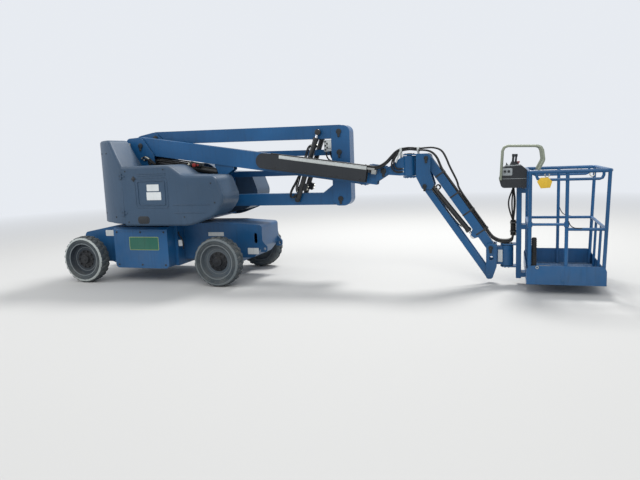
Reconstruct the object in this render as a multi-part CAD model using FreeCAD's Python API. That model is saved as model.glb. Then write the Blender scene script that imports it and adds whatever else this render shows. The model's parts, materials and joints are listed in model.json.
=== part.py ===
import FreeCAD, Part
import math
import os
from FreeCAD import Vector

os.makedirs("parts", exist_ok=True)

# Articulating boom lift, millimetres. In the sizes below X is measured forward from the rear axle,
# Y from the machine's middle plane (+Y is its left side) and Z up from the ground.

# Wheels and chassis
WHEELBASE = 1930.0
WHEEL_CENTRE_Y = 655.0
TYRE_R = 305.0
TYRE_WIDTH = 180.0
RIM_R = 215.0
RIM_WALL = 12.0
DISC_RECESS = 75.0
DISC_THICK = 12.0
HUB_R = 60.0
HUB_NOSE = 35.0
SPINDLE_R = 25.0
HUB_DRUM_R = 92.0
KINGPIN_Y = 500.0
KINGPIN_R = 20.0
CHASSIS_REAR_X = -160.0
CHASSIS_HALF = 450.0
CHASSIS_TOP = 730.0
CHASSIS_BOTTOM = 200.0
NOSE_HALF = 270.0
NOSE_FRONT_X = WHEELBASE + 420.0
NOSE_BACK_X = 1250.0
CHASSIS_WALL = 20.0
SIDE_BOX_X = (420.0, 1210.0)
SIDE_BOX_OUT = 620.0
SIDE_BOX_Z = (190.0, 718.0)
SIDE_BOX_R = 55.0
SIDE_BOX_BEVEL = 30.0
AXLE_HALF_X = 50.0
TIE_BORE_R = 17.0
TIE_LUG_THICK = 25.0
SLOT_Z = (470.0, 600.0)
SLOT_WIDTH = 44.0

# Turntable
SLEW_X = 800.0
TAIL_R = 745.0
RING_BORE_R = 255.0
RING_OUT_R = 320.0
RING_TOP = 758.0
DECK_BOTTOM = 765.0
DECK_THICK = 20.0
COVER_IN = 285.0
COVER_WALL = 18.0
DOOR_OUT = TAIL_R
DOOR_DEPTH = 53.0
DOOR_IN = DOOR_OUT - DOOR_DEPTH
DOOR_BACK_X = 706.0
DOOR_WALL = 18.0
DOOR_RIM_R = 34.0
DOOR_LOW = 748.0
COVER_RIM_R = 36.0
SHOULDER_TOP = 1825.0
SHOULDER_SLOPE_X = (500.0, 700.0)
POD_TOP = 1490.0
PACK_X = (790.0, 1380.0)
PACK_DROP = 310.0

# Riser, pivots in side view
LOWER_PIN = (720.0, 990.0)
LOWER_LINK_PIN = (720.0, 1324.0)
MID_X = 3300.0
MID_UPPER_Z = 1815.0
MID_BEHIND = 100.0
MID_AHEAD = 135.0
MID_Z = (905.0, 1897.0)
GUSSET_LENGTH = 240.0
GUSSET_RISE = 205.0
UPPER_PIN = (720.0, 1850.0)
UPPER_LINK_DROP = 250.0
LOWER_ARM_H = 150.0
UPPER_ARM_H = 165.0
ARM_WALL = 8.0
LINK_H = 60.0
PLATE = 12.0
PLATE_GAP = 6.0
ARM_Y = (72.0, 192.0)
LINK_Y = (198.0, 234.0)
PIN_R = 25.0
RISER_CYL_LOWER_BACK = 560.0
RISER_CYL_UPPER_BACK = 260.0
RISER_CYL_Y = (28.0, 283.0)
RISER_CYL_R = 32.0
RISER_ROD_R = 18.0

# Primary boom, in its own line from the root pin
ROOT_PIN = (640.0, 1750.0)
BOOM_DROP = 8.8
BOOM_Y = -90.0
BOOM_W = 150.0
BOOM_H = 220.0
BOOM_WALL = 7.0
BOOM_BACK = -100.0
ROOT_CORNER_R = 75.0
TRAY_S = 1690.0
TRAY_WIDTH = 92.0
TRAY_WALL = 6.0
TRAY_LOW = -77.0
EXT_SHOWN = 182.0
EAR_LENGTH = 160.0
EXT_W = 122.0
EXT_H = 190.0
EXT_WALL = 7.0
EXT_BACK = 1250.0
HEAD_PIN = (3890.0, 1325.0)
HEAD_S = ((HEAD_PIN[0] - ROOT_PIN[0]) * math.cos(math.radians(BOOM_DROP))
          - (HEAD_PIN[1] - ROOT_PIN[1]) * math.sin(math.radians(BOOM_DROP)))
BOOM_LENGTH = HEAD_S - EXT_SHOWN
CYL_BASE_PIN = (770.0, 1530.0)
CYL_EYE_PIN = (1780.0, 1360.0)
PRIMARY_CYL_R = 45.0
PRIMARY_ROD_R = 26.0

# Jib, pivots in side view
JIB_AXIS_X = 4185.0
JIB_DRUM_R = 75.0
JIB_DRUM_Z = (1260.0, 1490.0)
JIB_TOP_PIN = (4390.0, 1459.0)
JIB_FOOT_PIN = (5100.0, 430.0)
JIB_LINK_DX = -20.0
JIB_LINK_DZ = -320.0
JIB_CYL_BASE = (4430.0, 1150.0)
JIB_CYL_EYE = (4904.0, 552.0)
JIB_TUBE_W = 90.0
JIB_TUBE_H = 100.0
JIB_LINK_H = 70.0
JIB_EAR_IN = 88.0
JIB_LINK_LANE = (65.0, 77.0)
JIB_PIN_R = 18.0
JIB_CYL_R = 30.0
JIB_ROD_R = 17.0
JIB_EYE_R = 30.0

# Platform
PLAT_AXIS_X = 5275.0
PLAT_DRUM_R = 70.0
PLAT_DRUM_Z = (225.0, 450.0)
PLAT_BACK = 5490.0
PLAT_FRONT = 6221.0
PLAT_HALF = 566.0
PLAT_FLOOR_Z = 130.0
PLAT_MID_Z = 690.0
PLAT_TOP_Z = 1280.0
PLAT_LEAN = 36.0
RAIL_R = 19.0
POST_R = 18.0
MID_RAIL_R = 16.0
RAIL_BEND = 38.0
BEND_STEPS = 2
SECOND_RAIL_DROP = 80.0
SECOND_RAIL_IN = 70.0
END_TOE_H = 180.0
SIDE_TOE_H = 125.0
TOE_THICK = 5.0
TOE_CORNER_R = 60.0
MAST_X = 5372.0
MAST_SIZE = 55.0
MAST_HALF = 82.0
MAST_LOW = 85.0
MAST_TIE_Z = (100.0, 640.0, 1040.0)
MAST_TIE_H = 50.0
CONTROL_LOW = 1110.0
CONTROL_TOP = 1350.0
CONTROL_BACK = 5185.0
GUARD_TOP = 1560.0
BAR_R = 14.0
ENTRY_SLEEVE = 50.0
HOOP_PEG_R = 9.0
HOOP_BEND = 55.0

# Running clearances
FIT = 0.05
SEAT = 0.3
SIDE = 1.0
MOVE_GAP = 6.0

ORIGIN_X = (PLAT_FRONT + PLAT_LEAN + RAIL_R - TYRE_R) / 2.0


def box(x0, x1, y0, y1, z0, z1):
    return Part.makeBox(x1 - x0, y1 - y0, z1 - z0, Vector(x0, y0, z0))


def plate(points, y0, y1):
    """A flat plate of a side-view outline, from y0 to y1."""
    ring = [Vector(x, y0, z) for x, z in points]
    face = Part.Face(Part.makePolygon(ring + ring[:1]))
    return face.extrude(Vector(0, y1 - y0, 0))


def arc_edges(corners, closed):
    """Lines and tangent arcs along corners, each a point and the radius of its bend."""
    count = len(corners)
    bends = []
    for i, (point, radius) in enumerate(corners):
        if radius == 0 or (not closed and i in (0, count - 1)):
            bends.append((point, point, point))
            continue
        before = (corners[i - 1][0] - point).normalize()
        after = (corners[(i + 1) % count][0] - point).normalize()
        half = before.getAngle(after) / 2
        reach = radius / math.tan(half)
        middle = (before + after).normalize() * (radius / math.sin(half) - radius)
        bends.append((point + before * reach, point + middle, point + after * reach))
    edges = []
    for i, (start, middle, end) in enumerate(bends):
        if (end - start).Length > 0:
            edges.append(Part.Arc(start, middle, end).toShape())
        if closed or i < count - 1:
            edges.append(Part.makeLine(end, bends[(i + 1) % count][0]))
    return edges


def rounded_face(outline):
    """A side-view face of (x, z, corner radius) rows."""
    corners = [(Vector(x, 0, z), r) for x, z, r in outline]
    return Part.Face(Part.Wire(arc_edges(corners, True)))


def rounded_plate(outline, y0, y1):
    face = rounded_face(outline)
    face.translate(Vector(0, y0, 0))
    return face.extrude(Vector(0, y1 - y0, 0))


def bent_tube(points, radius, bend):
    """A round tube through points, bent in short mitred lengths to one radius at each of them."""
    spine = []
    for edge in arc_edges([(Vector(*point), bend) for point in points], False):
        steps = BEND_STEPS if edge.Curve.TypeId == "Part::GeomCircle" else 1
        spine += [p for p in edge.discretize(steps + 1) if not spine or (p - spine[-1]).Length > 0.01]
    ring = Part.Wire(Part.makeCircle(radius, spine[0], spine[1] - spine[0]))
    mitred = 1
    return Part.makePolygon(spine).makePipeShell([ring], True, False, mitred)


def shaft(point, y0, y1, r):
    """A round bar across the machine at a side-view point."""
    return Part.makeCylinder(r, y1 - y0, Vector(point[0], y0, point[1]), Vector(0, 1, 0))


def post(x, y, z0, z1, r):
    return Part.makeCylinder(r, z1 - z0, Vector(x, y, z0), Vector(0, 0, 1))


def rod(p, q, r):
    a = Vector(*p)
    b = Vector(*q)
    return Part.makeCylinder(r, (b - a).Length, a, b - a)


def along(p, q, distance):
    """The side-view point that lies a distance from p towards q."""
    length = math.hypot(q[0] - p[0], q[1] - p[1])
    return (p[0] + (q[0] - p[0]) * distance / length, p[1] + (q[1] - p[1]) * distance / length)


def bar(p, q, half, y0, y1, back=0.0, ahead=0.0):
    """A straight bar of a height of two halves from p to q in side view."""
    a = along(p, q, -back)
    b = along(q, p, -ahead)
    length = math.hypot(b[0] - a[0], b[1] - a[1])
    nx = -(b[1] - a[1]) / length * half
    nz = (b[0] - a[0]) / length * half
    corners = [(a[0] + nx, a[1] + nz), (b[0] + nx, b[1] + nz)]
    corners += [(b[0] - nx, b[1] - nz), (a[0] - nx, a[1] - nz)]
    return plate(corners, y0, y1)


def round_bar(p, q, half, y0, y1):
    """A flat link with round ends at both pins."""
    return fuse([bar(p, q, half, y0, y1), shaft(p, y0, y1, half), shaft(q, y0, y1, half)])


def fuse(shapes):
    return shapes[0].fuse(shapes[1:]).removeSplitter()


def mirrored(shape):
    return shape.mirror(Vector(0, 0, 0), Vector(0, 1, 0))


def pair(shape):
    """The same piece on both sides, as two solids that don't touch."""
    return Part.makeCompound([shape, mirrored(shape)])


def boom_point(s, z=0.0):
    """The side-view place of a point on the boom's own line."""
    a = math.radians(BOOM_DROP)
    x = ROOT_PIN[0] + s * math.cos(a) + z * math.sin(a)
    return (x, ROOT_PIN[1] - s * math.sin(a) + z * math.cos(a))


def boom_place(shape):
    """Turns a shape drawn level, with the root pin at zero, down onto the boom's line."""
    shape = shape.copy()
    shape.rotate(Vector(0, 0, 0), Vector(0, 1, 0), BOOM_DROP)
    shape.translate(Vector(ROOT_PIN[0], 0, ROOT_PIN[1]))
    return shape


def save(name, shape):
    shape = shape.copy()
    shape.translate(Vector(-ORIGIN_X, 0, 0))
    shape.exportStep("parts/" + name + ".step")


# Tyres and rims, drawn for the left side with the outer face towards +Y
tyre_in = WHEEL_CENTRE_Y - TYRE_WIDTH / 2
tyre_out = WHEEL_CENTRE_Y + TYRE_WIDTH / 2
disc_out = tyre_out - DISC_RECESS
disc_in = disc_out - DISC_THICK
hub_in = disc_in - 15.0
hub_out = disc_out + HUB_NOSE


def spun(points):
    """A ring from a half section of (radius, y) points, turned about the axle line."""
    ring = [Vector(r, y, 0) for r, y in points]
    face = Part.Face(Part.makePolygon(ring + ring[:1]))
    return face.revolve(Vector(0, 0, 0), Vector(0, 1, 0), 360)


TYRE_SHOULDER = 34.0
TYRE_BEAD = 12.0
RIM_LIP = 16.0
HUB_CAP = 12.0


def tyre():
    return spun([
        (RIM_R + SEAT, tyre_in + TYRE_BEAD), (TYRE_R - TYRE_SHOULDER, tyre_in),
        (TYRE_R, tyre_in + TYRE_SHOULDER), (TYRE_R, tyre_out - TYRE_SHOULDER),
        (TYRE_R - TYRE_SHOULDER, tyre_out), (RIM_R + SEAT, tyre_out - TYRE_BEAD)])


def rim():
    inner = RIM_R - RIM_WALL
    bore = SPINDLE_R + FIT
    return spun([
        (RIM_R, tyre_in + RIM_LIP), (RIM_R, tyre_out - RIM_LIP), (inner, tyre_out - RIM_LIP),
        (inner - HUB_CAP, disc_out), (HUB_R, disc_out), (HUB_R - HUB_CAP / 2, hub_out), (0, hub_out),
        (0, hub_out - HUB_CAP), (bore, hub_out - HUB_CAP), (bore, hub_in), (HUB_R, hub_in),
        (HUB_R, disc_in), (inner, disc_in), (inner, tyre_in + RIM_LIP)])


def at_axle(shape, x, left):
    shape = shape.copy() if left else mirrored(shape)
    shape.translate(Vector(x, 0, TYRE_R))
    return shape


for end, axle_x in (("rear", 0.0), ("front", WHEELBASE)):
    for side in ("left", "right"):
        save("tyre_%s_%s" % (end, side), at_axle(tyre(), axle_x, side == "left"))
        save("rim_%s_%s" % (end, side), at_axle(rim(), axle_x, side == "left"))

# Drive hubs of the rear wheels
drive_hub = fuse([
    shaft((0, TYRE_R), CHASSIS_HALF, hub_in - 5, HUB_DRUM_R),
    shaft((0, TYRE_R), hub_in - 5, hub_out - 13, SPINDLE_R)])
save("rear_drive_hubs", pair(drive_hub))

# Steering knuckles, each with its kingpin
KNUCKLE_HALF_X = 45.0
YOKE_Z = (225.0, 385.0)
YOKE_PLATE = 25.0
YOKE_OUT = 535.0
KNUCKLE_IN = KINGPIN_Y - 42.0
KNUCKLE_OUT = tyre_in - 5.0
knuckle = fuse([
    box(WHEELBASE - KNUCKLE_HALF_X, WHEELBASE + KNUCKLE_HALF_X, KNUCKLE_IN, KNUCKLE_OUT,
        YOKE_Z[0] + SIDE, YOKE_Z[1] - SIDE),
    shaft((WHEELBASE, TYRE_R), KNUCKLE_OUT, hub_in - 5, HUB_DRUM_R),
    shaft((WHEELBASE, TYRE_R), hub_in - 5, hub_out - 13, SPINDLE_R),
    post(WHEELBASE, KINGPIN_Y, YOKE_Z[0] - YOKE_PLATE, YOKE_Z[1] + YOKE_PLATE, KINGPIN_R)])
save("knuckle_left", knuckle)
save("knuckle_right", mirrored(knuckle))

# Chassis: a wide box at the rear, a narrow nose between the steered wheels, the front axle
# Outline columns: x, z, corner radius
rear_outline = [
    (CHASSIS_REAR_X, 360, 30), (CHASSIS_REAR_X, 630, 60), (380, CHASSIS_TOP, 260),
    (NOSE_BACK_X, CHASSIS_TOP, 0), (NOSE_BACK_X, CHASSIS_BOTTOM, 0), (350, CHASSIS_BOTTOM, 80),
    (250, 240, 80), (-60, 240, 60)]
nose_outline = [
    (NOSE_BACK_X, CHASSIS_TOP, 0), (NOSE_FRONT_X - 450, CHASSIS_TOP, 600),
    (NOSE_FRONT_X, CHASSIS_TOP - 30, 40), (NOSE_FRONT_X, 430, 40), (NOSE_FRONT_X - 120, 290, 60),
    (NOSE_BACK_X, 255, 0)]
axle_end = KINGPIN_Y - math.hypot(KNUCKLE_HALF_X, KINGPIN_Y - KNUCKLE_IN) - MOVE_GAP
axle_beam = box(WHEELBASE - AXLE_HALF_X, WHEELBASE + AXLE_HALF_X, -axle_end, axle_end,
                YOKE_Z[0] - YOKE_PLATE, YOKE_Z[1] + YOKE_PLATE)
chassis = [
    rounded_plate(rear_outline, -CHASSIS_HALF, CHASSIS_HALF),
    rounded_plate(nose_outline, -NOSE_HALF, NOSE_HALF),
    axle_beam]
for side in (-1, 1):
    for z in (YOKE_Z[0] - YOKE_PLATE, YOKE_Z[1]):
        inner, outer = sorted((side * axle_end, side * YOKE_OUT))
        chassis.append(box(WHEELBASE - AXLE_HALF_X, WHEELBASE + AXLE_HALF_X, inner, outer,
                           z, z + YOKE_PLATE))
# Tie-down lugs stand at the rear end and at the nose
TIE_Z = 400.0
TIE_OUT = 60.0
tie_places = [
    (CHASSIS_REAR_X, -1, CHASSIS_HALF - TIE_LUG_THICK), (NOSE_FRONT_X, 1, NOSE_HALF - TIE_LUG_THICK)]
for end_x, way, y in tie_places:
    for low in (y, -y - TIE_LUG_THICK):
        chassis.append(plate([
            (end_x - way * 30, TIE_Z + 100), (end_x, TIE_Z + 100), (end_x + way * TIE_OUT, TIE_Z + 30),
            (end_x + way * TIE_OUT, TIE_Z - 25), (end_x + way * 40, TIE_Z - 40),
            (end_x - way * 30, TIE_Z - 40)], low, low + TIE_LUG_THICK))
chassis = fuse(chassis)
chassis = chassis.cut([
    box(CHASSIS_REAR_X + 60, NOSE_BACK_X - CHASSIS_WALL, -CHASSIS_HALF + CHASSIS_WALL,
        CHASSIS_HALF - CHASSIS_WALL, 270, 600),
    box(NOSE_BACK_X + CHASSIS_WALL, WHEELBASE - AXLE_HALF_X - CHASSIS_WALL, -NOSE_HALF + CHASSIS_WALL,
        NOSE_HALF - CHASSIS_WALL, 290, 700),
    box(WHEELBASE + AXLE_HALF_X + CHASSIS_WALL, NOSE_FRONT_X - CHASSIS_WALL, -NOSE_HALF + CHASSIS_WALL,
        NOSE_HALF - CHASSIS_WALL, SLOT_Z[0] - CHASSIS_WALL, SLOT_Z[1] + CHASSIS_WALL)])
slot_x = NOSE_FRONT_X - 90.0
slot_half = SLOT_WIDTH / 2
chassis = chassis.cut(rounded_plate([
    (slot_x - slot_half, SLOT_Z[0], slot_half - 1), (slot_x - slot_half, SLOT_Z[1], slot_half - 1),
    (slot_x + slot_half, SLOT_Z[1], slot_half - 1), (slot_x + slot_half, SLOT_Z[0], slot_half - 1)],
    -NOSE_HALF - 1, NOSE_HALF + 1))
for side in (-1, 1):
    chassis = chassis.cut(post(WHEELBASE, side * KINGPIN_Y, YOKE_Z[0] - YOKE_PLATE - 5,
                               YOKE_Z[1] + YOKE_PLATE + 5, KINGPIN_R + FIT))
for end_x, way, y in tie_places:
    chassis = chassis.cut(shaft((end_x + way * 30, TIE_Z), -CHASSIS_HALF - 10, CHASSIS_HALF + 10,
                                TIE_BORE_R))
save("chassis_frame", chassis)

# Side boxes between the wheels
side_box = rounded_plate([
    (SIDE_BOX_X[0], SIDE_BOX_Z[0], SIDE_BOX_R), (SIDE_BOX_X[0], SIDE_BOX_Z[1], 0),
    (SIDE_BOX_X[1], SIDE_BOX_Z[1], 0), (SIDE_BOX_X[1], SIDE_BOX_Z[0], SIDE_BOX_R)],
    CHASSIS_HALF, SIDE_BOX_OUT)
long_edges = [
    edge for edge in side_box.Edges
    if abs(edge.CenterOfMass.y - SIDE_BOX_OUT) < 1 and abs(edge.CenterOfMass.z - SIDE_BOX_Z[1]) < 1]
side_box = side_box.makeChamfer(SIDE_BOX_BEVEL, long_edges)
save("chassis_side_boxes", pair(side_box))

# Slewing ring on the chassis
ring = post(SLEW_X, 0, CHASSIS_TOP, RING_TOP, RING_OUT_R)
save("slew_ring", ring.cut(post(SLEW_X, 0, CHASSIS_TOP - 1, RING_TOP + 1, RING_BORE_R + FIT)))

# Turntable: deck, spigot, the four pivot plates of the riser and their cross tubes
deck_top = DECK_BOTTOM + DECK_THICK
lane_near = (ARM_Y[0] - PLATE_GAP - PLATE, ARM_Y[0] - PLATE_GAP)
lane_far = (LINK_Y[1] + PLATE_GAP, LINK_Y[1] + PLATE_GAP + PLATE)
deck = post(SLEW_X, 0, DECK_BOTTOM, deck_top, DOOR_IN - 12)
deck = deck.fuse(box(SLEW_X, 1560, -DOOR_IN + 12, DOOR_IN - 12, DECK_BOTTOM, deck_top))
turn_top = LOWER_LINK_PIN[1] + 80.0
turn_outline = [
    (610, deck_top, 0), (610, turn_top, 60), (860, turn_top, 90), (1780, 1300, 60), (1780, 1180, 120),
    (1500, deck_top, 0)]
turntable = [deck, post(SLEW_X, 0, CHASSIS_TOP + 5, DECK_BOTTOM, RING_BORE_R)]
for lane in (lane_near, lane_far):
    turntable.append(rounded_plate(turn_outline, *lane))
turntable.append(shaft(LOWER_PIN, lane_near[0] - 8, lane_far[1] + 8, PIN_R))
turntable.append(shaft(LOWER_LINK_PIN, LINK_Y[0] - SIDE, lane_far[1] + 8, PIN_R))
turntable.append(box(612, 627, lane_near[1], lane_far[0], deck_top, 1195))
save("turntable_frame", fuse(turntable))

# Counterweight at the tail
CW_FRONT = 400.0
CW_TOP = 1430.0
counterweight = post(SLEW_X, 0, deck_top, CW_TOP, TAIL_R).common(
    box(0, CW_FRONT, -COVER_IN + 6, COVER_IN - 6, deck_top, CW_TOP))
tail_rim = []
for edge in counterweight.Edges:
    middle = edge.CenterOfMass
    if middle.z > CW_TOP - 1 and abs(middle.y) < 1 and middle.x < CW_FRONT - 1:
        tail_rim.append(edge)
save("counterweight", counterweight.makeFillet(COVER_RIM_R, tail_rim))


def shoulder(wall, open_below):
    """The tall rear cover of one side, drawn in by a wall's thickness for its inside."""
    z0 = deck_top - (10 if open_below else 0)
    outline = [
        (40 + wall, z0, 0), (40 + wall, SHOULDER_TOP - wall, 190 - wall),
        (SHOULDER_SLOPE_X[0] - wall / 2, SHOULDER_TOP - wall, 70),
        (SHOULDER_SLOPE_X[1] - wall, POD_TOP + wall / 2, 0), (SHOULDER_SLOPE_X[1] - wall, z0, 0)]
    body = rounded_plate(outline, COVER_IN + wall, TAIL_R + 50)
    return body.common(post(SLEW_X, 0, z0, SHOULDER_TOP + 10, TAIL_R - wall))


def on_tail_rim(edge):
    """Whether an edge runs round the top of the tail's curved wall."""
    middle = edge.valueAt((edge.FirstParameter + edge.LastParameter) / 2)
    round_wall = abs(math.hypot(middle.x - SLEW_X, middle.y) - TAIL_R) < 0.1
    upright = abs(edge.Vertexes[0].X - edge.Vertexes[-1].X) < 0.1
    return round_wall and middle.z > POD_TOP - 1 and not upright


HINGE_X = (SHOULDER_SLOPE_X[1] + DOOR_BACK_X) / 2
HINGE_Y = DOOR_OUT + 8.0
HINGE_R = 7.0
HINGE_PIN_R = 4.0
HINGE_Z = (DOOR_LOW + 132.0, POD_TOP - 150.0)
KNUCKLE_LENGTH = 20.0
LEAF = 40.0


def hinge_knuckle(z):
    return post(HINGE_X, HINGE_Y, z, z + KNUCKLE_LENGTH, HINGE_R)


rear_cover = shoulder(0, False)
rear_cover = rear_cover.makeFillet(COVER_RIM_R, [edge for edge in rear_cover.Edges if on_tail_rim(edge)])
rear_cover = rear_cover.cut(shoulder(COVER_WALL, True))
for z in HINGE_Z:
    for low in (z, z + 2 * KNUCKLE_LENGTH + 2 * SIDE):
        leaf = box(HINGE_X - LEAF, HINGE_X - 1, TAIL_R - 14, HINGE_Y - 1, low, low + KNUCKLE_LENGTH)
        rear_cover = rear_cover.fuse([leaf, hinge_knuckle(low)])
    rear_cover = rear_cover.fuse(post(HINGE_X, HINGE_Y, z, z + 3 * KNUCKLE_LENGTH + 2 * SIDE, HINGE_PIN_R))
save("rear_covers", pair(rear_cover.removeSplitter()))

# Side pods: a fixed body open to the side, and the hinged door that closes it
door_outline = [
    (DOOR_BACK_X, DOOR_LOW, 0), (DOOR_BACK_X, POD_TOP, 0), (1370, POD_TOP, 220), (1540, POD_TOP - 125, 110),
    (1990, 1345, 90), (2095, 1060, 160), (1950, 865, 260), (1620, DOOR_LOW, 600)]


def drawn_in(outline, wall, y0, y1):
    """A plate of the outline with every side moved in by a wall."""
    face = rounded_face(outline).makeOffset2D(-wall)
    face.translate(Vector(0, y0, 0))
    return face.extrude(Vector(0, y1 - y0, 0))


def on_door_rim(edge):
    """Whether an edge bounds the door's outer face, without the upright one at the hinges."""
    middle = edge.valueAt((edge.FirstParameter + edge.LastParameter) / 2)
    ends = [middle] + [v.Point for v in edge.Vertexes]
    return all(abs(point.y - DOOR_OUT) < 0.01 for point in ends) and middle.x > DOOR_BACK_X + 1


pod_low = [(x, max(z, deck_top), r) for x, z, r in door_outline[:-1]]
pod_outline = pod_low + [(1560, deck_top, 0)]
pod = rounded_plate(pod_outline, COVER_IN, DOOR_IN - 4)
pod = pod.cut(drawn_in(pod_outline, COVER_WALL, COVER_IN + COVER_WALL, DOOR_IN))
save("pod_bodies", pair(pod))

door = rounded_plate(door_outline, DOOR_IN, DOOR_OUT)
door = door.makeFillet(DOOR_RIM_R, [edge for edge in door.Edges if on_door_rim(edge)])
door = door.cut(drawn_in(door_outline, DOOR_WALL, DOOR_IN - 5, DOOR_OUT - DOOR_WALL))
door = door.cut(box(DOOR_BACK_X - 5, DOOR_BACK_X + DOOR_WALL + 1, DOOR_IN - 5, DOOR_OUT - DOOR_WALL,
                    760, POD_TOP - DOOR_WALL))
for z in HINGE_Z:
    low = z + KNUCKLE_LENGTH + SIDE
    leaf = box(HINGE_X + 1, HINGE_X + LEAF, DOOR_OUT - 1, HINGE_Y - 1, low, low + KNUCKLE_LENGTH)
    door = door.fuse([leaf, hinge_knuckle(low)])
    door = door.cut(post(HINGE_X, HINGE_Y, low - SIDE, low + KNUCKLE_LENGTH + SIDE, HINGE_PIN_R + FIT))
door = door.removeSplitter()
save("door_left", door)
save("door_right", mirrored(door))

# Heavy blocks inside the pods
pod_depth = DOOR_IN - COVER_IN
power_pack = box(PACK_X[0], PACK_X[1], COVER_IN + pod_depth * 0.15, DOOR_IN - pod_depth * 0.22,
                 deck_top + COVER_WALL, POD_TOP - PACK_DROP)
save("power_packs", pair(power_pack))

# Riser arms and links
MID_LOWER = (MID_X, LOWER_PIN[1])
MID_UPPER = (MID_X, MID_UPPER_Z)
MID_LOWER_LINK = (MID_X, LOWER_LINK_PIN[1])
MID_UPPER_LINK = (MID_X, MID_UPPER_Z - UPPER_LINK_DROP)
UPPER_LINK_PIN = (UPPER_PIN[0], UPPER_PIN[1] - UPPER_LINK_DROP)
riser_low_eye = along(MID_LOWER, LOWER_PIN, RISER_CYL_LOWER_BACK)
riser_high_eye = along(MID_UPPER, UPPER_PIN, RISER_CYL_UPPER_BACK)


def box_arm(p, q, height, extras=()):
    """A hollow box arm between two pins, with a bored hub at each pin."""
    y0, y1 = ARM_Y
    half = height / 2
    hub = half - 2
    arm = fuse([bar(p, q, half, y0, y1), shaft(p, y0, y1, half), shaft(q, y0, y1, half)] + list(extras))
    arm = arm.cut(bar(p, q, half - ARM_WALL, y0 + ARM_WALL, y1 - ARM_WALL, -hub, -hub))
    for pin in (p, q):
        arm = arm.cut(shaft(pin, y0 - 1, y1 + 1, PIN_R + FIT))
    return arm


gusset = plate([
    (MID_X - GUSSET_LENGTH, LOWER_PIN[1] + 70), (MID_X - 60, LOWER_PIN[1] + GUSSET_RISE),
    (MID_X - 10, LOWER_PIN[1] + GUSSET_RISE),
    (MID_X + 40, LOWER_PIN[1] + 50)], *ARM_Y)
lower_arm = box_arm(LOWER_PIN, MID_LOWER, LOWER_ARM_H, [gusset])
CYL_PIN_R = 20.0
EYE_R = 34.0
CYL_EYE_HALF = 22.0
near_eye = RISER_CYL_Y[0]
far_eye = RISER_CYL_Y[1]
lower_arm = fuse([
    lower_arm, shaft(riser_low_eye, near_eye - CYL_EYE_HALF - 6, far_eye + CYL_EYE_HALF + 6, CYL_PIN_R)])
save("lower_arm", lower_arm)
high_pin = shaft(riser_high_eye, near_eye + CYL_EYE_HALF + SIDE, far_eye - CYL_EYE_HALF - SIDE, CYL_PIN_R)
save("upper_arm", fuse([box_arm(UPPER_PIN, MID_UPPER, UPPER_ARM_H), high_pin]))


def flat_link(p, q):
    link = round_bar(p, q, LINK_H / 2 + 6, *LINK_Y)
    for pin in (p, q):
        link = link.cut(shaft(pin, LINK_Y[0] - 1, LINK_Y[1] + 1, PIN_R + FIT))
    return link


save("lower_link", flat_link(LOWER_LINK_PIN, MID_LOWER_LINK))
save("upper_link", flat_link(UPPER_LINK_PIN, MID_UPPER_LINK))

# Mid pivot: two cheek plates with a front flange
MID_BACK = MID_X - MID_BEHIND
MID_FRONT = MID_X + MID_AHEAD
FLANGE = 14.0
mid_outline = [
    (MID_BACK, MID_Z[0] + 55, 40), (MID_X - 50, MID_Z[0], 60), (MID_FRONT, MID_Z[0], 95),
    (MID_FRONT, MID_Z[1], 85), (MID_BACK, MID_Z[1] - 17, 60)]
mid_pivot = [rounded_plate(mid_outline, *lane) for lane in (lane_near, lane_far)]
flange = rounded_plate(mid_outline, lane_near[0], lane_far[1])
flange = flange.cut(drawn_in(mid_outline, FLANGE, lane_near[0] - 1, lane_far[1] + 1))
mid_pivot.append(flange.common(box(
    MID_X + UPPER_ARM_H / 2 + MOVE_GAP, MID_FRONT + 1, lane_near[0], lane_far[1], MID_Z[0] - 1, MID_Z[1] + 1)))
for pin in (MID_LOWER, MID_LOWER_LINK, MID_UPPER_LINK, MID_UPPER):
    mid_pivot.append(shaft(pin, lane_near[0] - 6, lane_far[1] + 6, PIN_R))
save("mid_pivot", fuse(mid_pivot))

# Upper pivot: carries the primary boom's root beside the riser's upper arm
boom_y = (BOOM_Y - BOOM_W / 2, BOOM_Y + BOOM_W / 2)
root_near = (boom_y[0] - PLATE_GAP - 18, boom_y[0] - PLATE_GAP)
root_far = (boom_y[1] + PLATE_GAP, boom_y[1] + PLATE_GAP + 18)
UP_BACK = 425.0
UP_FRONT = 830.0
pivot_outline = [
    (UP_BACK, 1480, 40), (UP_BACK, 1880, 70), (720, 1932, 90), (UP_FRONT, 1820, 80), (UP_FRONT, 1480, 40)]
root_outline = [
    (UP_BACK, 1475, 40), (UP_BACK, 1850, 60), (660, 1860, 110), (UP_FRONT, 1620, 90), (UP_FRONT, 1468, 35)]
upper_pivot = [rounded_plate(pivot_outline, *lane) for lane in (lane_near, lane_far)]
upper_pivot += [rounded_plate(root_outline, *lane) for lane in (root_near, root_far)]
upper_pivot.append(box(
    UP_BACK, UP_BACK + 50, root_near[0], lane_far[1], UPPER_PIN[1] - 350, UPPER_PIN[1] - 30))
upper_pivot.append(shaft(UPPER_PIN, lane_near[0] - 6, lane_far[1] + 6, PIN_R))
upper_pivot.append(shaft(UPPER_LINK_PIN, LINK_Y[0] - SIDE, lane_far[1] + 6, PIN_R))
upper_pivot.append(shaft(ROOT_PIN, root_near[0] - 6, root_far[1] + 6, PIN_R))
upper_pivot.append(shaft(CYL_BASE_PIN, root_near[0] - 6, root_far[1] + 6, CYL_PIN_R))
save("upper_pivot", fuse(upper_pivot))


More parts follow.
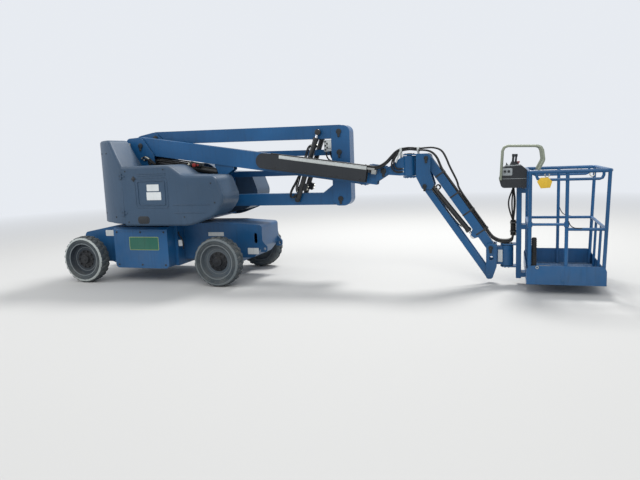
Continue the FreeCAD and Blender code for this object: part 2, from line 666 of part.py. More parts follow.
def cylinder_pieces(base, eye, y, barrel_r, rod_r, eye_half, pin_r, eye_r):
    """A hydraulic cylinder in side view: its barrel with a bored base eye, and its rod."""
    length = math.hypot(eye[0] - base[0], eye[1] - base[1])
    start = along(base, eye, eye_r - 10)
    mouth = along(base, eye, length - eye_r - 40)
    inside = along(base, eye, eye_r + 60)
    a = Vector(start[0], y, start[1])
    b = Vector(mouth[0], y, mouth[1])
    way = b - a
    barrel = Part.makeCylinder(barrel_r, way.Length, a, way)
    gland = Part.makeCylinder(barrel_r + 5, 35, b - Vector(way).normalize() * 35, way)
    barrel = fuse([barrel, gland, shaft(base, y - eye_half, y + eye_half, eye_r)])
    c = Vector(inside[0], y, inside[1])
    barrel = barrel.cut(Part.makeCylinder(rod_r + FIT, way.Length, c, way))
    barrel = barrel.cut(shaft(base, y - eye_half - 1, y + eye_half + 1, pin_r + FIT))
    foot = along(base, eye, eye_r + 70)
    d = Vector(foot[0], y, foot[1])
    e = Vector(eye[0], y, eye[1])
    piston_rod = fuse([
        Part.makeCylinder(rod_r, (e - d).Length, d, e - d), shaft(eye, y - eye_half, y + eye_half, eye_r)])
    return barrel, piston_rod


barrels = []
rods = []
for y in RISER_CYL_Y:
    barrel, piston_rod = cylinder_pieces(riser_low_eye, riser_high_eye, y, RISER_CYL_R, RISER_ROD_R,
                                         CYL_EYE_HALF, CYL_PIN_R, EYE_R)
    barrels.append(barrel)
    rods.append(piston_rod)
save("riser_cylinder_barrels", Part.makeCompound(barrels))
save("riser_cylinder_rods", Part.makeCompound(rods))
barrel, piston_rod = cylinder_pieces(CYL_BASE_PIN, CYL_EYE_PIN, BOOM_Y, PRIMARY_CYL_R, PRIMARY_ROD_R,
                                     40.0, CYL_PIN_R, EYE_R)
save("primary_cylinder_barrel", barrel)
save("primary_cylinder_rod", piston_rod)

# Primary boom: hollow base tube with a collar that guides the extension
half_w = BOOM_W / 2
half_h = BOOM_H / 2


def level_box(s0, s1, half_y, z0, z1):
    return box(s0, s1, BOOM_Y - half_y, BOOM_Y + half_y, z0, z1)


root_front = 150.0
collar = 90.0
boom = rounded_plate([
    (BOOM_BACK, half_h, ROOT_CORNER_R), (BOOM_LENGTH, half_h, 0), (BOOM_LENGTH, -half_h, 0),
    (BOOM_BACK, -half_h, ROOT_CORNER_R)], BOOM_Y - half_w, BOOM_Y + half_w)
boom = boom.cut(level_box(root_front, BOOM_LENGTH - collar, half_w - BOOM_WALL, -half_h + BOOM_WALL,
                          half_h - BOOM_WALL))
boom = boom.cut(level_box(BOOM_LENGTH - collar - 1, BOOM_LENGTH + 1, EXT_W / 2 + SEAT,
                          -EXT_H / 2 - SEAT, EXT_H / 2 + SEAT))
boom = boom.cut(shaft((0, 0), BOOM_Y - half_w - 1, BOOM_Y + half_w + 1, PIN_R + FIT))
boom = boom_place(boom)
lug_front = 1950.0
lug_back = 1690.0
lug_half = 40.0 + SIDE
for low in (BOOM_Y - lug_half - 16, BOOM_Y + lug_half):
    boom = boom.fuse(rounded_plate([
        (lug_back, CYL_EYE_PIN[1] + 120, 0), (lug_front, CYL_EYE_PIN[1] + 80, 0),
        (lug_front, CYL_EYE_PIN[1] + 40, 0), (CYL_EYE_PIN[0] + 48, CYL_EYE_PIN[1] - 42, 40),
        (CYL_EYE_PIN[0] - 42, CYL_EYE_PIN[1] - 42, 40), (CYL_EYE_PIN[0] - 58, CYL_EYE_PIN[1] + 40, 60),
        (lug_back, CYL_EYE_PIN[1] + 85, 0)], low, low + 16))
save("primary_boom", boom.removeSplitter())

# Cable tray on the boom's near side
tray_round = (half_h - TRAY_LOW) / 2 - 1
tray_outline = [
    (TRAY_S, half_h, tray_round), (BOOM_LENGTH, half_h, 0), (BOOM_LENGTH, TRAY_LOW, 0),
    (TRAY_S, TRAY_LOW, tray_round)]
tray = rounded_plate(tray_outline, boom_y[0] - TRAY_WIDTH, boom_y[0])
tray = tray.cut(box(TRAY_S + tray_round, BOOM_LENGTH + 1, boom_y[0] - TRAY_WIDTH + TRAY_WALL,
                    boom_y[0] - TRAY_WALL, TRAY_LOW + TRAY_WALL, half_h + 1))
save("cable_tray", boom_place(tray))

# Boom extension with the ears of the head pin
ext_end = HEAD_S - 60.0
ear_in = 56.0
ear_out = EXT_W / 2 + 9
extension = level_box(EXT_BACK, ext_end, EXT_W / 2, -EXT_H / 2, EXT_H / 2)
extension = extension.cut(level_box(EXT_BACK - 1, ext_end + 1, EXT_W / 2 - EXT_WALL,
                                    -EXT_H / 2 + EXT_WALL, EXT_H / 2 - EXT_WALL))
extension = boom_place(extension)
tip = boom_point(ext_end)
for low in (BOOM_Y - ear_out, BOOM_Y + ear_in):
    extension = extension.fuse(rounded_plate([
        (HEAD_PIN[0] - EAR_LENGTH, HEAD_PIN[1] + 85, 0), (HEAD_PIN[0] + 48, HEAD_PIN[1] + 52, 46),
        (HEAD_PIN[0] + 46, HEAD_PIN[1] - 46, 44), (tip[0] - 20, tip[1] - 62, 60),
        (HEAD_PIN[0] - EAR_LENGTH, tip[1] - 50, 0)], low, low + ear_out - ear_in))
extension = extension.fuse(shaft(HEAD_PIN, BOOM_Y - ear_out - 6, BOOM_Y + ear_out + 6, PIN_R))
save("boom_extension", extension.removeSplitter())

# Levelling bracket with the jib's turning drum
JIB_SHAFT_R = 30.0
bracket_half = 50.0
bracket = plate([
    (HEAD_PIN[0] - 25, HEAD_PIN[1] + 38), (HEAD_PIN[0] + 60, HEAD_PIN[1] + 45),
    (4080, JIB_DRUM_Z[1] - 25), (JIB_AXIS_X - 40, JIB_DRUM_Z[1] - 5),
    (JIB_AXIS_X - 40, JIB_DRUM_Z[0] + 5), (4080, JIB_DRUM_Z[0] + 5), (HEAD_PIN[0] + 10, HEAD_PIN[1] - 44)],
    BOOM_Y - bracket_half, BOOM_Y + bracket_half)
bracket = fuse([
    bracket, shaft(HEAD_PIN, BOOM_Y - ear_in + SIDE, BOOM_Y + ear_in - SIDE, 45),
    post(JIB_AXIS_X, BOOM_Y, JIB_DRUM_Z[0], JIB_DRUM_Z[1], JIB_DRUM_R)])
bracket = bracket.cut(shaft(HEAD_PIN, BOOM_Y - 80, BOOM_Y + 80, PIN_R + FIT))
bracket = bracket.cut(post(JIB_AXIS_X, BOOM_Y, JIB_DRUM_Z[0] - 1, JIB_DRUM_Z[1] + 1, JIB_SHAFT_R + FIT))
save("level_bracket", bracket)

# Jib head: end plates on the drum's shaft, a web and two ears
JIB_EAR = 12.0
CAP = 14.0
CAP_GAP = 6.0
jib_link_top = (JIB_TOP_PIN[0] + JIB_LINK_DX, JIB_TOP_PIN[1] + JIB_LINK_DZ)
jib_link_foot = (JIB_FOOT_PIN[0] + JIB_LINK_DX, JIB_FOOT_PIN[1] + JIB_LINK_DZ)
head_low = JIB_DRUM_Z[0] - CAP_GAP - CAP
head_high = JIB_DRUM_Z[1] + CAP_GAP + CAP
web_x = (JIB_AXIS_X + JIB_DRUM_R + 15, JIB_AXIS_X + JIB_DRUM_R + 30)
ear_span = JIB_EAR_IN + JIB_EAR
jib_head = [
    post(JIB_AXIS_X, BOOM_Y, head_low, head_high, JIB_SHAFT_R),
    box(web_x[0], web_x[1], BOOM_Y - ear_span, BOOM_Y + ear_span, head_low, head_high)]
for z in (head_low, head_high - CAP):
    jib_head.append(post(JIB_AXIS_X, BOOM_Y, z, z + CAP, JIB_DRUM_R))
    jib_head.append(box(JIB_AXIS_X, web_x[0], BOOM_Y - JIB_DRUM_R, BOOM_Y + JIB_DRUM_R, z, z + CAP))
for low in (BOOM_Y - ear_span, BOOM_Y + JIB_EAR_IN):
    jib_head.append(rounded_plate([
        (web_x[0], head_high, 0), (JIB_TOP_PIN[0] + 52, head_high, 44),
        (JIB_TOP_PIN[0] + 45, JIB_DRUM_Z[0] + 40, 90), (JIB_CYL_BASE[0] + 48, JIB_CYL_BASE[1] + 5, 30),
        (JIB_CYL_BASE[0] + 18, jib_link_top[1] - 38, 24), (jib_link_top[0] - 28, jib_link_top[1] - 34, 24),
        (web_x[0], head_low, 0)], low, low + JIB_EAR))
for pin in (JIB_TOP_PIN, jib_link_top):
    jib_head.append(shaft(pin, BOOM_Y - ear_span - 5, BOOM_Y + ear_span + 5, JIB_PIN_R))
CYL_LUG = (JIB_CYL_R + MOVE_GAP, JIB_CYL_R + MOVE_GAP + JIB_EAR)
for low in (BOOM_Y - CYL_LUG[1], BOOM_Y + CYL_LUG[0]):
    jib_head.append(rounded_plate([
        (web_x[0], head_low, 0), (web_x[0], JIB_DRUM_Z[0] + 70, 0), (web_x[1] + 20, JIB_DRUM_Z[0] + 70, 0),
        (JIB_CYL_BASE[0] + 34, JIB_CYL_BASE[1] + 12, 25), (JIB_CYL_BASE[0] + 10, JIB_CYL_BASE[1] - 32, 25),
        (jib_link_top[0] - 20, JIB_CYL_BASE[1] - 24, 15)], low, low + JIB_EAR))
jib_head.append(shaft(JIB_CYL_BASE, BOOM_Y - CYL_LUG[1] - 4, BOOM_Y + CYL_LUG[1] + 4, JIB_PIN_R))
save("jib_head", fuse(jib_head))

# Jib tube, its levelling link of two bars, and its cylinder
JIB_HUB_R = 45.0
jib_half = JIB_TUBE_W / 2
jib_tube = fuse([
    bar(JIB_TOP_PIN, JIB_FOOT_PIN, JIB_TUBE_H / 2, BOOM_Y - jib_half, BOOM_Y + jib_half),
    shaft(JIB_TOP_PIN, BOOM_Y - JIB_EAR_IN + SIDE, BOOM_Y + JIB_EAR_IN - SIDE, JIB_HUB_R),
    shaft(JIB_FOOT_PIN, BOOM_Y - JIB_EAR_IN + SIDE, BOOM_Y + JIB_EAR_IN - SIDE, JIB_HUB_R)])
jib_tube = jib_tube.cut(bar(JIB_TOP_PIN, JIB_FOOT_PIN, JIB_TUBE_H / 2 - 6, BOOM_Y - jib_half + 6,
                            BOOM_Y + jib_half - 6, -70, -70))
for pin in (JIB_TOP_PIN, JIB_FOOT_PIN):
    jib_tube = jib_tube.cut(shaft(pin, BOOM_Y - 100, BOOM_Y + 100, JIB_PIN_R + FIT))
jib_eye_half = 24.0
for low in (BOOM_Y - jib_eye_half - SIDE - 12, BOOM_Y + jib_eye_half + SIDE):
    jib_tube = jib_tube.fuse(plate([
        along(JIB_TOP_PIN, JIB_FOOT_PIN, 920), along(JIB_TOP_PIN, JIB_FOOT_PIN, 1090),
        (JIB_CYL_EYE[0] + 20, JIB_CYL_EYE[1] - 25), (JIB_CYL_EYE[0] - 25, JIB_CYL_EYE[1] + 10)],
        low, low + 12))
save("jib_tube", jib_tube.removeSplitter())

link_bars = []
for low in (BOOM_Y - JIB_LINK_LANE[1], BOOM_Y + JIB_LINK_LANE[0]):
    high = low + JIB_LINK_LANE[1] - JIB_LINK_LANE[0]
    link = round_bar(jib_link_top, jib_link_foot, JIB_LINK_H / 2, low, high)
    for pin in (jib_link_top, jib_link_foot):
        link = link.cut(shaft(pin, low - 1, high + 1, JIB_PIN_R + FIT))
    link_bars.append(link)
save("jib_link", Part.makeCompound(link_bars))
barrel, piston_rod = cylinder_pieces(JIB_CYL_BASE, JIB_CYL_EYE, BOOM_Y, JIB_CYL_R, JIB_ROD_R,
                                     jib_eye_half, JIB_PIN_R, JIB_EYE_R)
save("jib_cylinder_barrel", barrel)
save("jib_cylinder_rod", piston_rod)

# Jib foot: two ears and the platform's turning drum
foot_web = (5150.0, 5165.0)
foot = [
    box(foot_web[0], foot_web[1], BOOM_Y - ear_span, BOOM_Y + ear_span, 215, 470),
    box(foot_web[0], PLAT_AXIS_X - 40, BOOM_Y - 50, BOOM_Y + 50, 235, 440),
    post(PLAT_AXIS_X, BOOM_Y, PLAT_DRUM_Z[0], PLAT_DRUM_Z[1], PLAT_DRUM_R)]
for low in (BOOM_Y - ear_span, BOOM_Y + JIB_EAR_IN):
    ear = rounded_plate([
        (JIB_FOOT_PIN[0] - 50, JIB_FOOT_PIN[1] + 50, 40), (foot_web[1], JIB_FOOT_PIN[1] + 40, 0),
        (foot_web[1], JIB_FOOT_PIN[1] - 215, 60), (jib_link_foot[0] + 38, jib_link_foot[1] - 38, 34),
        (jib_link_foot[0] - 30, jib_link_foot[1] - 38, 26)], low, low + JIB_EAR)
    hole = along(JIB_FOOT_PIN, jib_link_foot, 120)
    foot.append(ear.cut(shaft((hole[0] + 14, hole[1]), low - 1, low + JIB_EAR + 1, 24)))
foot.append(shaft(JIB_FOOT_PIN, BOOM_Y - ear_span - 5, BOOM_Y + ear_span + 5, JIB_PIN_R))
for low in (BOOM_Y - ear_span - 5, BOOM_Y + JIB_LINK_LANE[0] - SIDE):
    foot.append(shaft(jib_link_foot, low, low + ear_span + 5 - JIB_LINK_LANE[0] + SIDE, JIB_PIN_R))
foot = fuse(foot)
foot = foot.cut(post(PLAT_AXIS_X, BOOM_Y, PLAT_DRUM_Z[0] - 1, PLAT_DRUM_Z[1] + 1, JIB_SHAFT_R + FIT))
save("jib_foot", foot)

# Platform mast on the drum's shaft
mast = [post(
    PLAT_AXIS_X, BOOM_Y, PLAT_DRUM_Z[0] - CAP_GAP - CAP, PLAT_DRUM_Z[1] + CAP_GAP + CAP, JIB_SHAFT_R)]
mast_back = MAST_X
mast_front = MAST_X + MAST_SIZE
for z in (PLAT_DRUM_Z[0] - CAP_GAP - CAP, PLAT_DRUM_Z[1] + CAP_GAP):
    mast.append(post(PLAT_AXIS_X, BOOM_Y, z, z + CAP, PLAT_DRUM_R))
    mast.append(box(PLAT_AXIS_X, mast_back + 5, BOOM_Y - PLAT_DRUM_R, BOOM_Y + PLAT_DRUM_R, z, z + CAP))
for low in (BOOM_Y - MAST_HALF, BOOM_Y + MAST_HALF - MAST_SIZE):
    mast.append(box(mast_back, mast_front, low, low + MAST_SIZE, MAST_LOW, CONTROL_LOW - SEAT))
for z in MAST_TIE_Z:
    mast.append(box(mast_back + 5, PLAT_BACK - RAIL_R, BOOM_Y - MAST_HALF, BOOM_Y + MAST_HALF,
                    z, z + MAST_TIE_H))
save("platform_mast", fuse(mast))

# Platform rails: the top and middle ones are bent tubes, with the posts at the middle of their bends
post_low = PLAT_FLOOR_Z + 5
corner_in = RAIL_BEND * (1 - math.sqrt(0.5))
post_x = (PLAT_BACK + corner_in, (PLAT_BACK + PLAT_FRONT) / 2, PLAT_FRONT - corner_in)
post_y = (-PLAT_HALF + corner_in, PLAT_HALF - corner_in)
stake_y = (-PLAT_HALF / 3, PLAT_HALF / 3)


def lean(z):
    """How far the front side stands forward at a height."""
    return PLAT_LEAN * (z - post_low) / (PLAT_TOP_Z - post_low)


def front_post(x, y, top, r):
    return rod((x, y, post_low), (x + lean(top), y, top), r)


def platform_posts(top, stake_top, gap):
    """The upright tubes of the platform, wider by a gap where something is cut round them."""
    posts = []
    for y in post_y:
        posts += [post(x, y, post_low, top, POST_R + gap) for x in post_x[:2]]
        posts.append(front_post(post_x[2], y, top, POST_R + gap))
    for y in stake_y:
        posts.append(post(post_x[0], y, post_low, stake_top, BAR_R + gap))
        posts.append(front_post(post_x[2], y, stake_top, BAR_R + gap))
    return posts


rails = platform_posts(PLAT_TOP_Z, PLAT_MID_Z, 0)
middle_x = post_x[1]
front_top = PLAT_FRONT + lean(PLAT_TOP_Z)
for end_x in (front_top, PLAT_BACK):
    rails.append(bent_tube([
        (middle_x, PLAT_HALF, PLAT_TOP_Z), (end_x, PLAT_HALF, PLAT_TOP_Z), (end_x, -PLAT_HALF, PLAT_TOP_Z),
        (middle_x, -PLAT_HALF, PLAT_TOP_Z)], RAIL_R, RAIL_BEND))
# Middle rails run between the posts and are open at the entry bar
front_mid = post_x[2] + lean(PLAT_MID_Z)
for y, back in ((post_y[0], middle_x), (post_y[1], post_x[0])):
    rails.append(rod((back, y, PLAT_MID_Z), (front_mid, y, PLAT_MID_Z), MID_RAIL_R))
for x in (post_x[0], front_mid):
    rails.append(rod((x, post_y[0], PLAT_MID_Z), (x, post_y[1], PLAT_MID_Z), MID_RAIL_R))
# A second tube hangs under the top rail at each end, bent up to it
second_z = PLAT_TOP_Z - SECOND_RAIL_DROP
second_x = (PLAT_BACK + SECOND_RAIL_IN, front_top - SECOND_RAIL_IN)
for y in (-PLAT_HALF, PLAT_HALF):
    rails.append(bent_tube([
        (second_x[0], y, PLAT_TOP_Z), (second_x[0], y, second_z), (second_x[1], y, second_z),
        (second_x[1], y, PLAT_TOP_Z)], BAR_R, RAIL_BEND))
save("platform_rails", fuse(rails))

# Platform floor: a plate on a rim, with toe boards that are higher at the two ends
floor_low = PLAT_FLOOR_Z - 20
lip = PLAT_HALF + RAIL_R - 2
floor_x = (PLAT_BACK - RAIL_R, PLAT_FRONT + RAIL_R)
side_top = PLAT_FLOOR_Z + SIDE_TOE_H
end_top = PLAT_FLOOR_Z + END_TOE_H
floor = [box(floor_x[0], floor_x[1], -lip, lip, floor_low, PLAT_FLOOR_Z + 5)]
for x in (floor_x[0], floor_x[1] - TOE_THICK):
    floor.append(box(x, x + TOE_THICK, -lip, lip, floor_low, side_top))
for y in (-lip, lip - TOE_THICK):
    floor.append(rounded_plate([
        (floor_x[0], floor_low, 0), (floor_x[0], end_top, TOE_CORNER_R), (floor_x[1], end_top, TOE_CORNER_R),
        (floor_x[1], floor_low, 0)], y, y + TOE_THICK))
save("platform_floor", fuse(floor).cut(platform_posts(end_top + 5, end_top + 5, SEAT)))

# Entry bar that slides up between two posts
bar_y = post_y[0]
entry_z = PLAT_MID_Z + 50.0
entry = [rod((post_x[0], bar_y, entry_z), (post_x[1], bar_y, entry_z), BAR_R)]
for x in post_x[:2]:
    entry.append(post(x, bar_y, entry_z - ENTRY_SLEEVE / 2, entry_z + ENTRY_SLEEVE / 2, POST_R + 7))
entry = fuse(entry)
for x in post_x[:2]:
    entry = entry.cut(post(x, bar_y, entry_z - ENTRY_SLEEVE, entry_z + ENTRY_SLEEVE, POST_R + FIT))
save("entry_bar", entry)

# Control box and its guard hoops
CONTROL_Y = (-345.0, 105.0)
control_front = PLAT_BACK - RAIL_R - SEAT
control = rounded_plate([
    (CONTROL_BACK + 30, CONTROL_LOW, 40), (CONTROL_BACK, CONTROL_LOW + 105, 30),
    (CONTROL_BACK + 45, CONTROL_TOP - 15, 35), (control_front - 60, CONTROL_TOP, 40),
    (control_front, CONTROL_TOP - 50, 0), (control_front, CONTROL_LOW, 0)], *CONTROL_Y)
save("control_box", control)
hoop_points = [
    (CONTROL_BACK + 20, CONTROL_LOW + 85), (CONTROL_BACK + 40, GUARD_TOP), (PLAT_BACK + 130, GUARD_TOP - 15),
    (PLAT_BACK + 150, CONTROL_TOP + 50), (PLAT_BACK + 95, PLAT_TOP_Z + 10)]
hoop_sides = [
    (CONTROL_Y[0] - BAR_R - SEAT, CONTROL_Y[0] - SEAT), (CONTROL_Y[1] + BAR_R + SEAT, CONTROL_Y[1] + SEAT)]
hoops = []
for y, box_side in hoop_sides:
    hoops.append(bent_tube([(x, y, z) for x, z in hoop_points], BAR_R, HOOP_BEND))
    hoops.append(shaft(along(hoop_points[0], hoop_points[1], 40), *sorted((y, box_side)), HOOP_PEG_R))
for reach in (110.0, 290.0):
    x, z = along(hoop_points[1], hoop_points[2], reach)
    hoops.append(rod((x, hoop_sides[0][0] + 4, z), (x, hoop_sides[1][0] - 4, z), BAR_R - 2))
save("control_guard", fuse(hoops))
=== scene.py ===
import json
import math
import bpy
from mathutils import Euler, Matrix, Vector


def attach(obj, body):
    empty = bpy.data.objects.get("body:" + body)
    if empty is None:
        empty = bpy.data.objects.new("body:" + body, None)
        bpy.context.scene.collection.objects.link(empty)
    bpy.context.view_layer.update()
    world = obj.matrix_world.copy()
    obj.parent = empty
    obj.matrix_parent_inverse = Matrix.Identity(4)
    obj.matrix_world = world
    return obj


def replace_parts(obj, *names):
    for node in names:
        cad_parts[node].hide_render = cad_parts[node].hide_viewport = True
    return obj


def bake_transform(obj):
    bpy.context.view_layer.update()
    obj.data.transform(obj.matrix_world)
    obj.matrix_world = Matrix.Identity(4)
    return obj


# Articulating boom lift, standing stowed on a pale studio floor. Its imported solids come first, and every
# place below is measured in metres from the rear axle, the middle plane and the ground.
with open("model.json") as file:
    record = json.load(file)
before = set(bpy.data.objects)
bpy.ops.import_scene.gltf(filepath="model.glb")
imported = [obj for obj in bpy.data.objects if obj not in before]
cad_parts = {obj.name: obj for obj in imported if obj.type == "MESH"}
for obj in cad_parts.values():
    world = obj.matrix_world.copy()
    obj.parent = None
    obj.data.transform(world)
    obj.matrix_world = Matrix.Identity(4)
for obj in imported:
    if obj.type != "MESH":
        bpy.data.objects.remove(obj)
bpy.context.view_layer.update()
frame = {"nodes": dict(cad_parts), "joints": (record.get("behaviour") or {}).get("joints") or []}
pins = {joint["name"]: Vector(joint["pos_m"]) for joint in frame["joints"] if "pos_m" in joint}
AXLE_X = pins["spin_rear_right"].x


def at(x, y, z):
    return Vector((AXLE_X + x, y, z))


def pin(joint):
    """A joint's place in side view, as X from the rear axle and Z."""
    return pins[joint].x - AXLE_X, pins[joint].z


# Floor and backdrop: one pale sheet that fades into the sky's white.
# It only carries the machine's shadow.
bpy.ops.mesh.primitive_circle_add(vertices=64, radius=60, fill_type="NGON", location=(0, 0, 0))
floor = bpy.context.object
floor.name = "studio_floor"


def shade(r, g, b):
    """A colour given as a picture shows it, 0 to 255, as Blender's linear values."""
    parts = [value / 255 for value in (r, g, b)]
    return tuple(p / 12.92 if p <= 0.04045 else ((p + 0.055) / 1.055) ** 2.4 for p in parts) + (1.0,)


def feed(tree, made, inputs):
    """Sets a node's inputs; one that is given a node or a socket is linked to it."""
    for key, value in inputs.items():
        if isinstance(value, bpy.types.Node):
            value = value.outputs[0]
        if isinstance(value, bpy.types.NodeSocket):
            tree.links.new(value, made.inputs[key])
        else:
            made.inputs[key].default_value = value


def node(tree, kind, inputs=None, **settings):
    """Adds a shader node with its settings and inputs."""
    made = tree.nodes.new("ShaderNode" + kind)
    for key, value in settings.items():
        setattr(made, key, value)
    feed(tree, made, inputs or {})
    return made


def ramp(tree, value, low, high, start=0.0, end=1.0):
    """Goes from start to end while a value goes from low to high."""
    return node(tree, "MapRange", {"Value": value, "From Min": low, "From Max": high, "To Min": start,
                                   "To Max": end})


def mix(tree, mask, first, second):
    """Goes from the first colour to the second by a mask."""
    return node(tree, "MixRGB", {0: mask, 1: first, 2: second})


def blank_material(name):
    material = bpy.data.materials.new(name)
    material.use_nodes = True
    tree = material.node_tree
    return material, tree, tree.nodes["Principled BSDF"]


floor_finish, tree, bsdf = blank_material("studio_floor")
speckle = node(tree, "TexNoise", {"Scale": 3.0, "Detail": 6.0})
tone = mix(tree, speckle, shade(196, 195, 192), shade(206, 205, 202))
feed(tree, bsdf, {"Base Color": tone, "Roughness": 0.9})
SKY = shade(240, 244, 250)
SKY_SEEN = 0.92
SKY_LIGHT = 0.72
HAZE_START = 6.5
HAZE_END = 15.0
spot = node(tree, "TexCoord").outputs["Object"]
far = node(tree, "VectorMath", {0: spot}, operation="LENGTH")
haze = ramp(tree, far.outputs["Value"], HAZE_START, HAZE_END)
glow = node(tree, "Emission", {"Color": SKY, "Strength": SKY_SEEN})
faded = node(tree, "MixShader", {0: haze, 1: bsdf, 2: glow})
feed(tree, tree.nodes["Material Output"], {"Surface": faded})
floor.data.materials.append(floor_finish)

world = bpy.data.worlds.new("studio")
bpy.context.scene.world = world
world.use_nodes = True
tree = world.node_tree
path = node(tree, "LightPath").outputs
seen = node(tree, "Math", {0: path["Is Camera Ray"], 1: path["Is Glossy Ray"]}, operation="MAXIMUM")
seen = node(tree, "Math", {0: seen, 1: path["Is Transmission Ray"]}, operation="MAXIMUM")
feed(tree, tree.nodes["Background"], {"Color": SKY, "Strength": ramp(tree, seen, 0, 1, SKY_LIGHT, SKY_SEEN)})

# Daylight from high behind the machine: the strongest lamp lights its tops and far edges.
for name, place, aim, size, power in (
        ("key_lamp", (3.5, -8.5, 7.5), (0, 0, 0.9), 6.0, 300),
        ("high_lamp", (1.0, 5.0, 9.0), (0.2, 0, 1.0), 3.0, 900),
        ("fill_lamp", (-8.0, -4.5, 5.5), (-1.0, 0, 1.0), 6.0, 210)):
    bpy.ops.object.light_add(type="AREA", location=place)
    lamp = bpy.context.object
    lamp.name = name
    lamp.data.shape = "DISK"
    lamp.data.size = size
    lamp.data.energy = power
    lamp.rotation_euler = (Vector(aim) - Vector(place)).to_track_quat("-Z", "Y").to_euler()

# The camera stands to the right of the machine, level with its platform, and looks slightly down towards the
# rear wheels.
FOCAL_PX = 588.5
PICTURE_PX = 640
YAW = math.radians(17.88)
PITCH = math.radians(8.26)
ROLL = math.radians(-2.25)
CAMERA_PLACE = (5.282, -7.004, 1.545)
bpy.ops.object.camera_add(location=at(*CAMERA_PLACE))
camera = bpy.context.object
camera.data.sensor_width = 36.0
camera.data.lens = FOCAL_PX * camera.data.sensor_width / PICTURE_PX
turned = Euler((math.pi / 2 - PITCH, 0, YAW)).to_matrix() @ Matrix.Rotation(ROLL, 3, "Z")
camera.rotation_euler = turned.to_euler()
camera.data.clip_end = 200
bpy.context.scene.camera = camera
bpy.context.scene.view_settings.view_transform = "Standard"


# Chassis: a welded box in deep blue semi-gloss, dusty where it faces up and low down, rubbed pale along its
# edges. It carries blank labels, a small white plate by the hose that is a painted highlight, a green
# sticker, screws, welds and the steering gear across the front axle.
def socket_group(name, inputs, outputs):
    group = bpy.data.node_groups.new(name, "ShaderNodeTree")
    for label, default in inputs:
        made = group.interface.new_socket(label, in_out="INPUT", socket_type="NodeSocketFloat")
        made.default_value = default
    for label, kind in outputs:
        group.interface.new_socket(label, in_out="OUTPUT", socket_type=kind)
    return group, group.nodes.new("NodeGroupInput").outputs, group.nodes.new("NodeGroupOutput")


def times(tree, first, second, **settings):
    return node(tree, "Math", {0: first, 1: second}, operation="MULTIPLY", **settings)


weather, taken, given = socket_group(
    "weather", [("Dust", 0.5), ("Streaks", 0.5), ("Patch Scale", 3.0), ("Grain Scale", 300.0)],
    [("Dust", "NodeSocketFloat"), ("Grime", "NodeSocketFloat"), ("Grain", "NodeSocketFloat"),
     ("Specks", "NodeSocketFloat"), ("Fade", "NodeSocketFloat")])
place = node(weather, "TexCoord").outputs["Object"]
facing = node(weather, "SeparateXYZ", {0: node(weather, "NewGeometry").outputs["Normal"]}).outputs[2]
height = node(weather, "SeparateXYZ", {0: place}).outputs[2]
up = ramp(weather, facing, 0.25, 0.95, 0.0, 0.75)
low = ramp(weather, height, 0.0, 0.75, 0.5, 0.08)
patches = node(weather, "TexNoise", {"Vector": place, "Scale": taken["Patch Scale"], "Detail": 7.0,
                                     "Roughness": 0.62})
spread = ramp(weather, patches, 0.36, 0.68)
both = node(weather, "Math", {0: up, 1: low}, operation="ADD")
dust = times(weather, times(weather, both, spread), taken["Dust"], use_clamp=True)
stretched = node(weather, "Mapping", {"Vector": place, "Scale": (9.0, 9.0, 0.9)})
runs = node(weather, "TexNoise", {"Vector": stretched, "Scale": 4.0, "Detail": 5.0})
held = times(weather, ramp(weather, facing, 0.9, 0.1), spread)
streaks = times(weather, ramp(weather, runs, 0.5, 0.72), held)
grime = times(weather, streaks, taken["Streaks"], use_clamp=True)
grain = node(weather, "TexNoise", {"Vector": place, "Scale": taken["Grain Scale"], "Detail": 3.0})
spots = node(weather, "TexNoise", {"Vector": place, "Scale": 46.0, "Detail": 9.0, "Roughness": 0.7})
drift = node(weather, "TexNoise", {"Vector": place, "Scale": 1.1, "Detail": 3.0})
feed(weather, given, {"Dust": dust, "Grime": grime, "Grain": grain,
                      "Specks": ramp(weather, spots, 0.69, 0.73), "Fade": ramp(weather, drift, 0.35, 0.65)})

edges, taken, given = socket_group("edges", [("Radius", 0.004), ("Rub", 0.5)],
                                   [("Rubbed", "NodeSocketFloat"), ("Normal", "NodeSocketVector")])
place = node(edges, "TexCoord").outputs["Object"]
rolled = node(edges, "Bevel", {"Radius": taken["Radius"]}, samples=6)
true_normal = node(edges, "NewGeometry").outputs["Normal"]
agree = node(edges, "VectorMath", {0: rolled, 1: true_normal}, operation="DOT_PRODUCT")
bend = ramp(edges, agree.outputs["Value"], 0.985, 0.86)
break_up = node(edges, "TexNoise", {"Vector": place, "Scale": 24.0, "Detail": 8.0, "Roughness": 0.7})
rubbed = times(edges, bend, ramp(edges, break_up, 0.42, 0.6))
shown = times(edges, rubbed, taken["Rub"], use_clamp=True)
feed(edges, given, {"Rubbed": shown, "Normal": rolled})


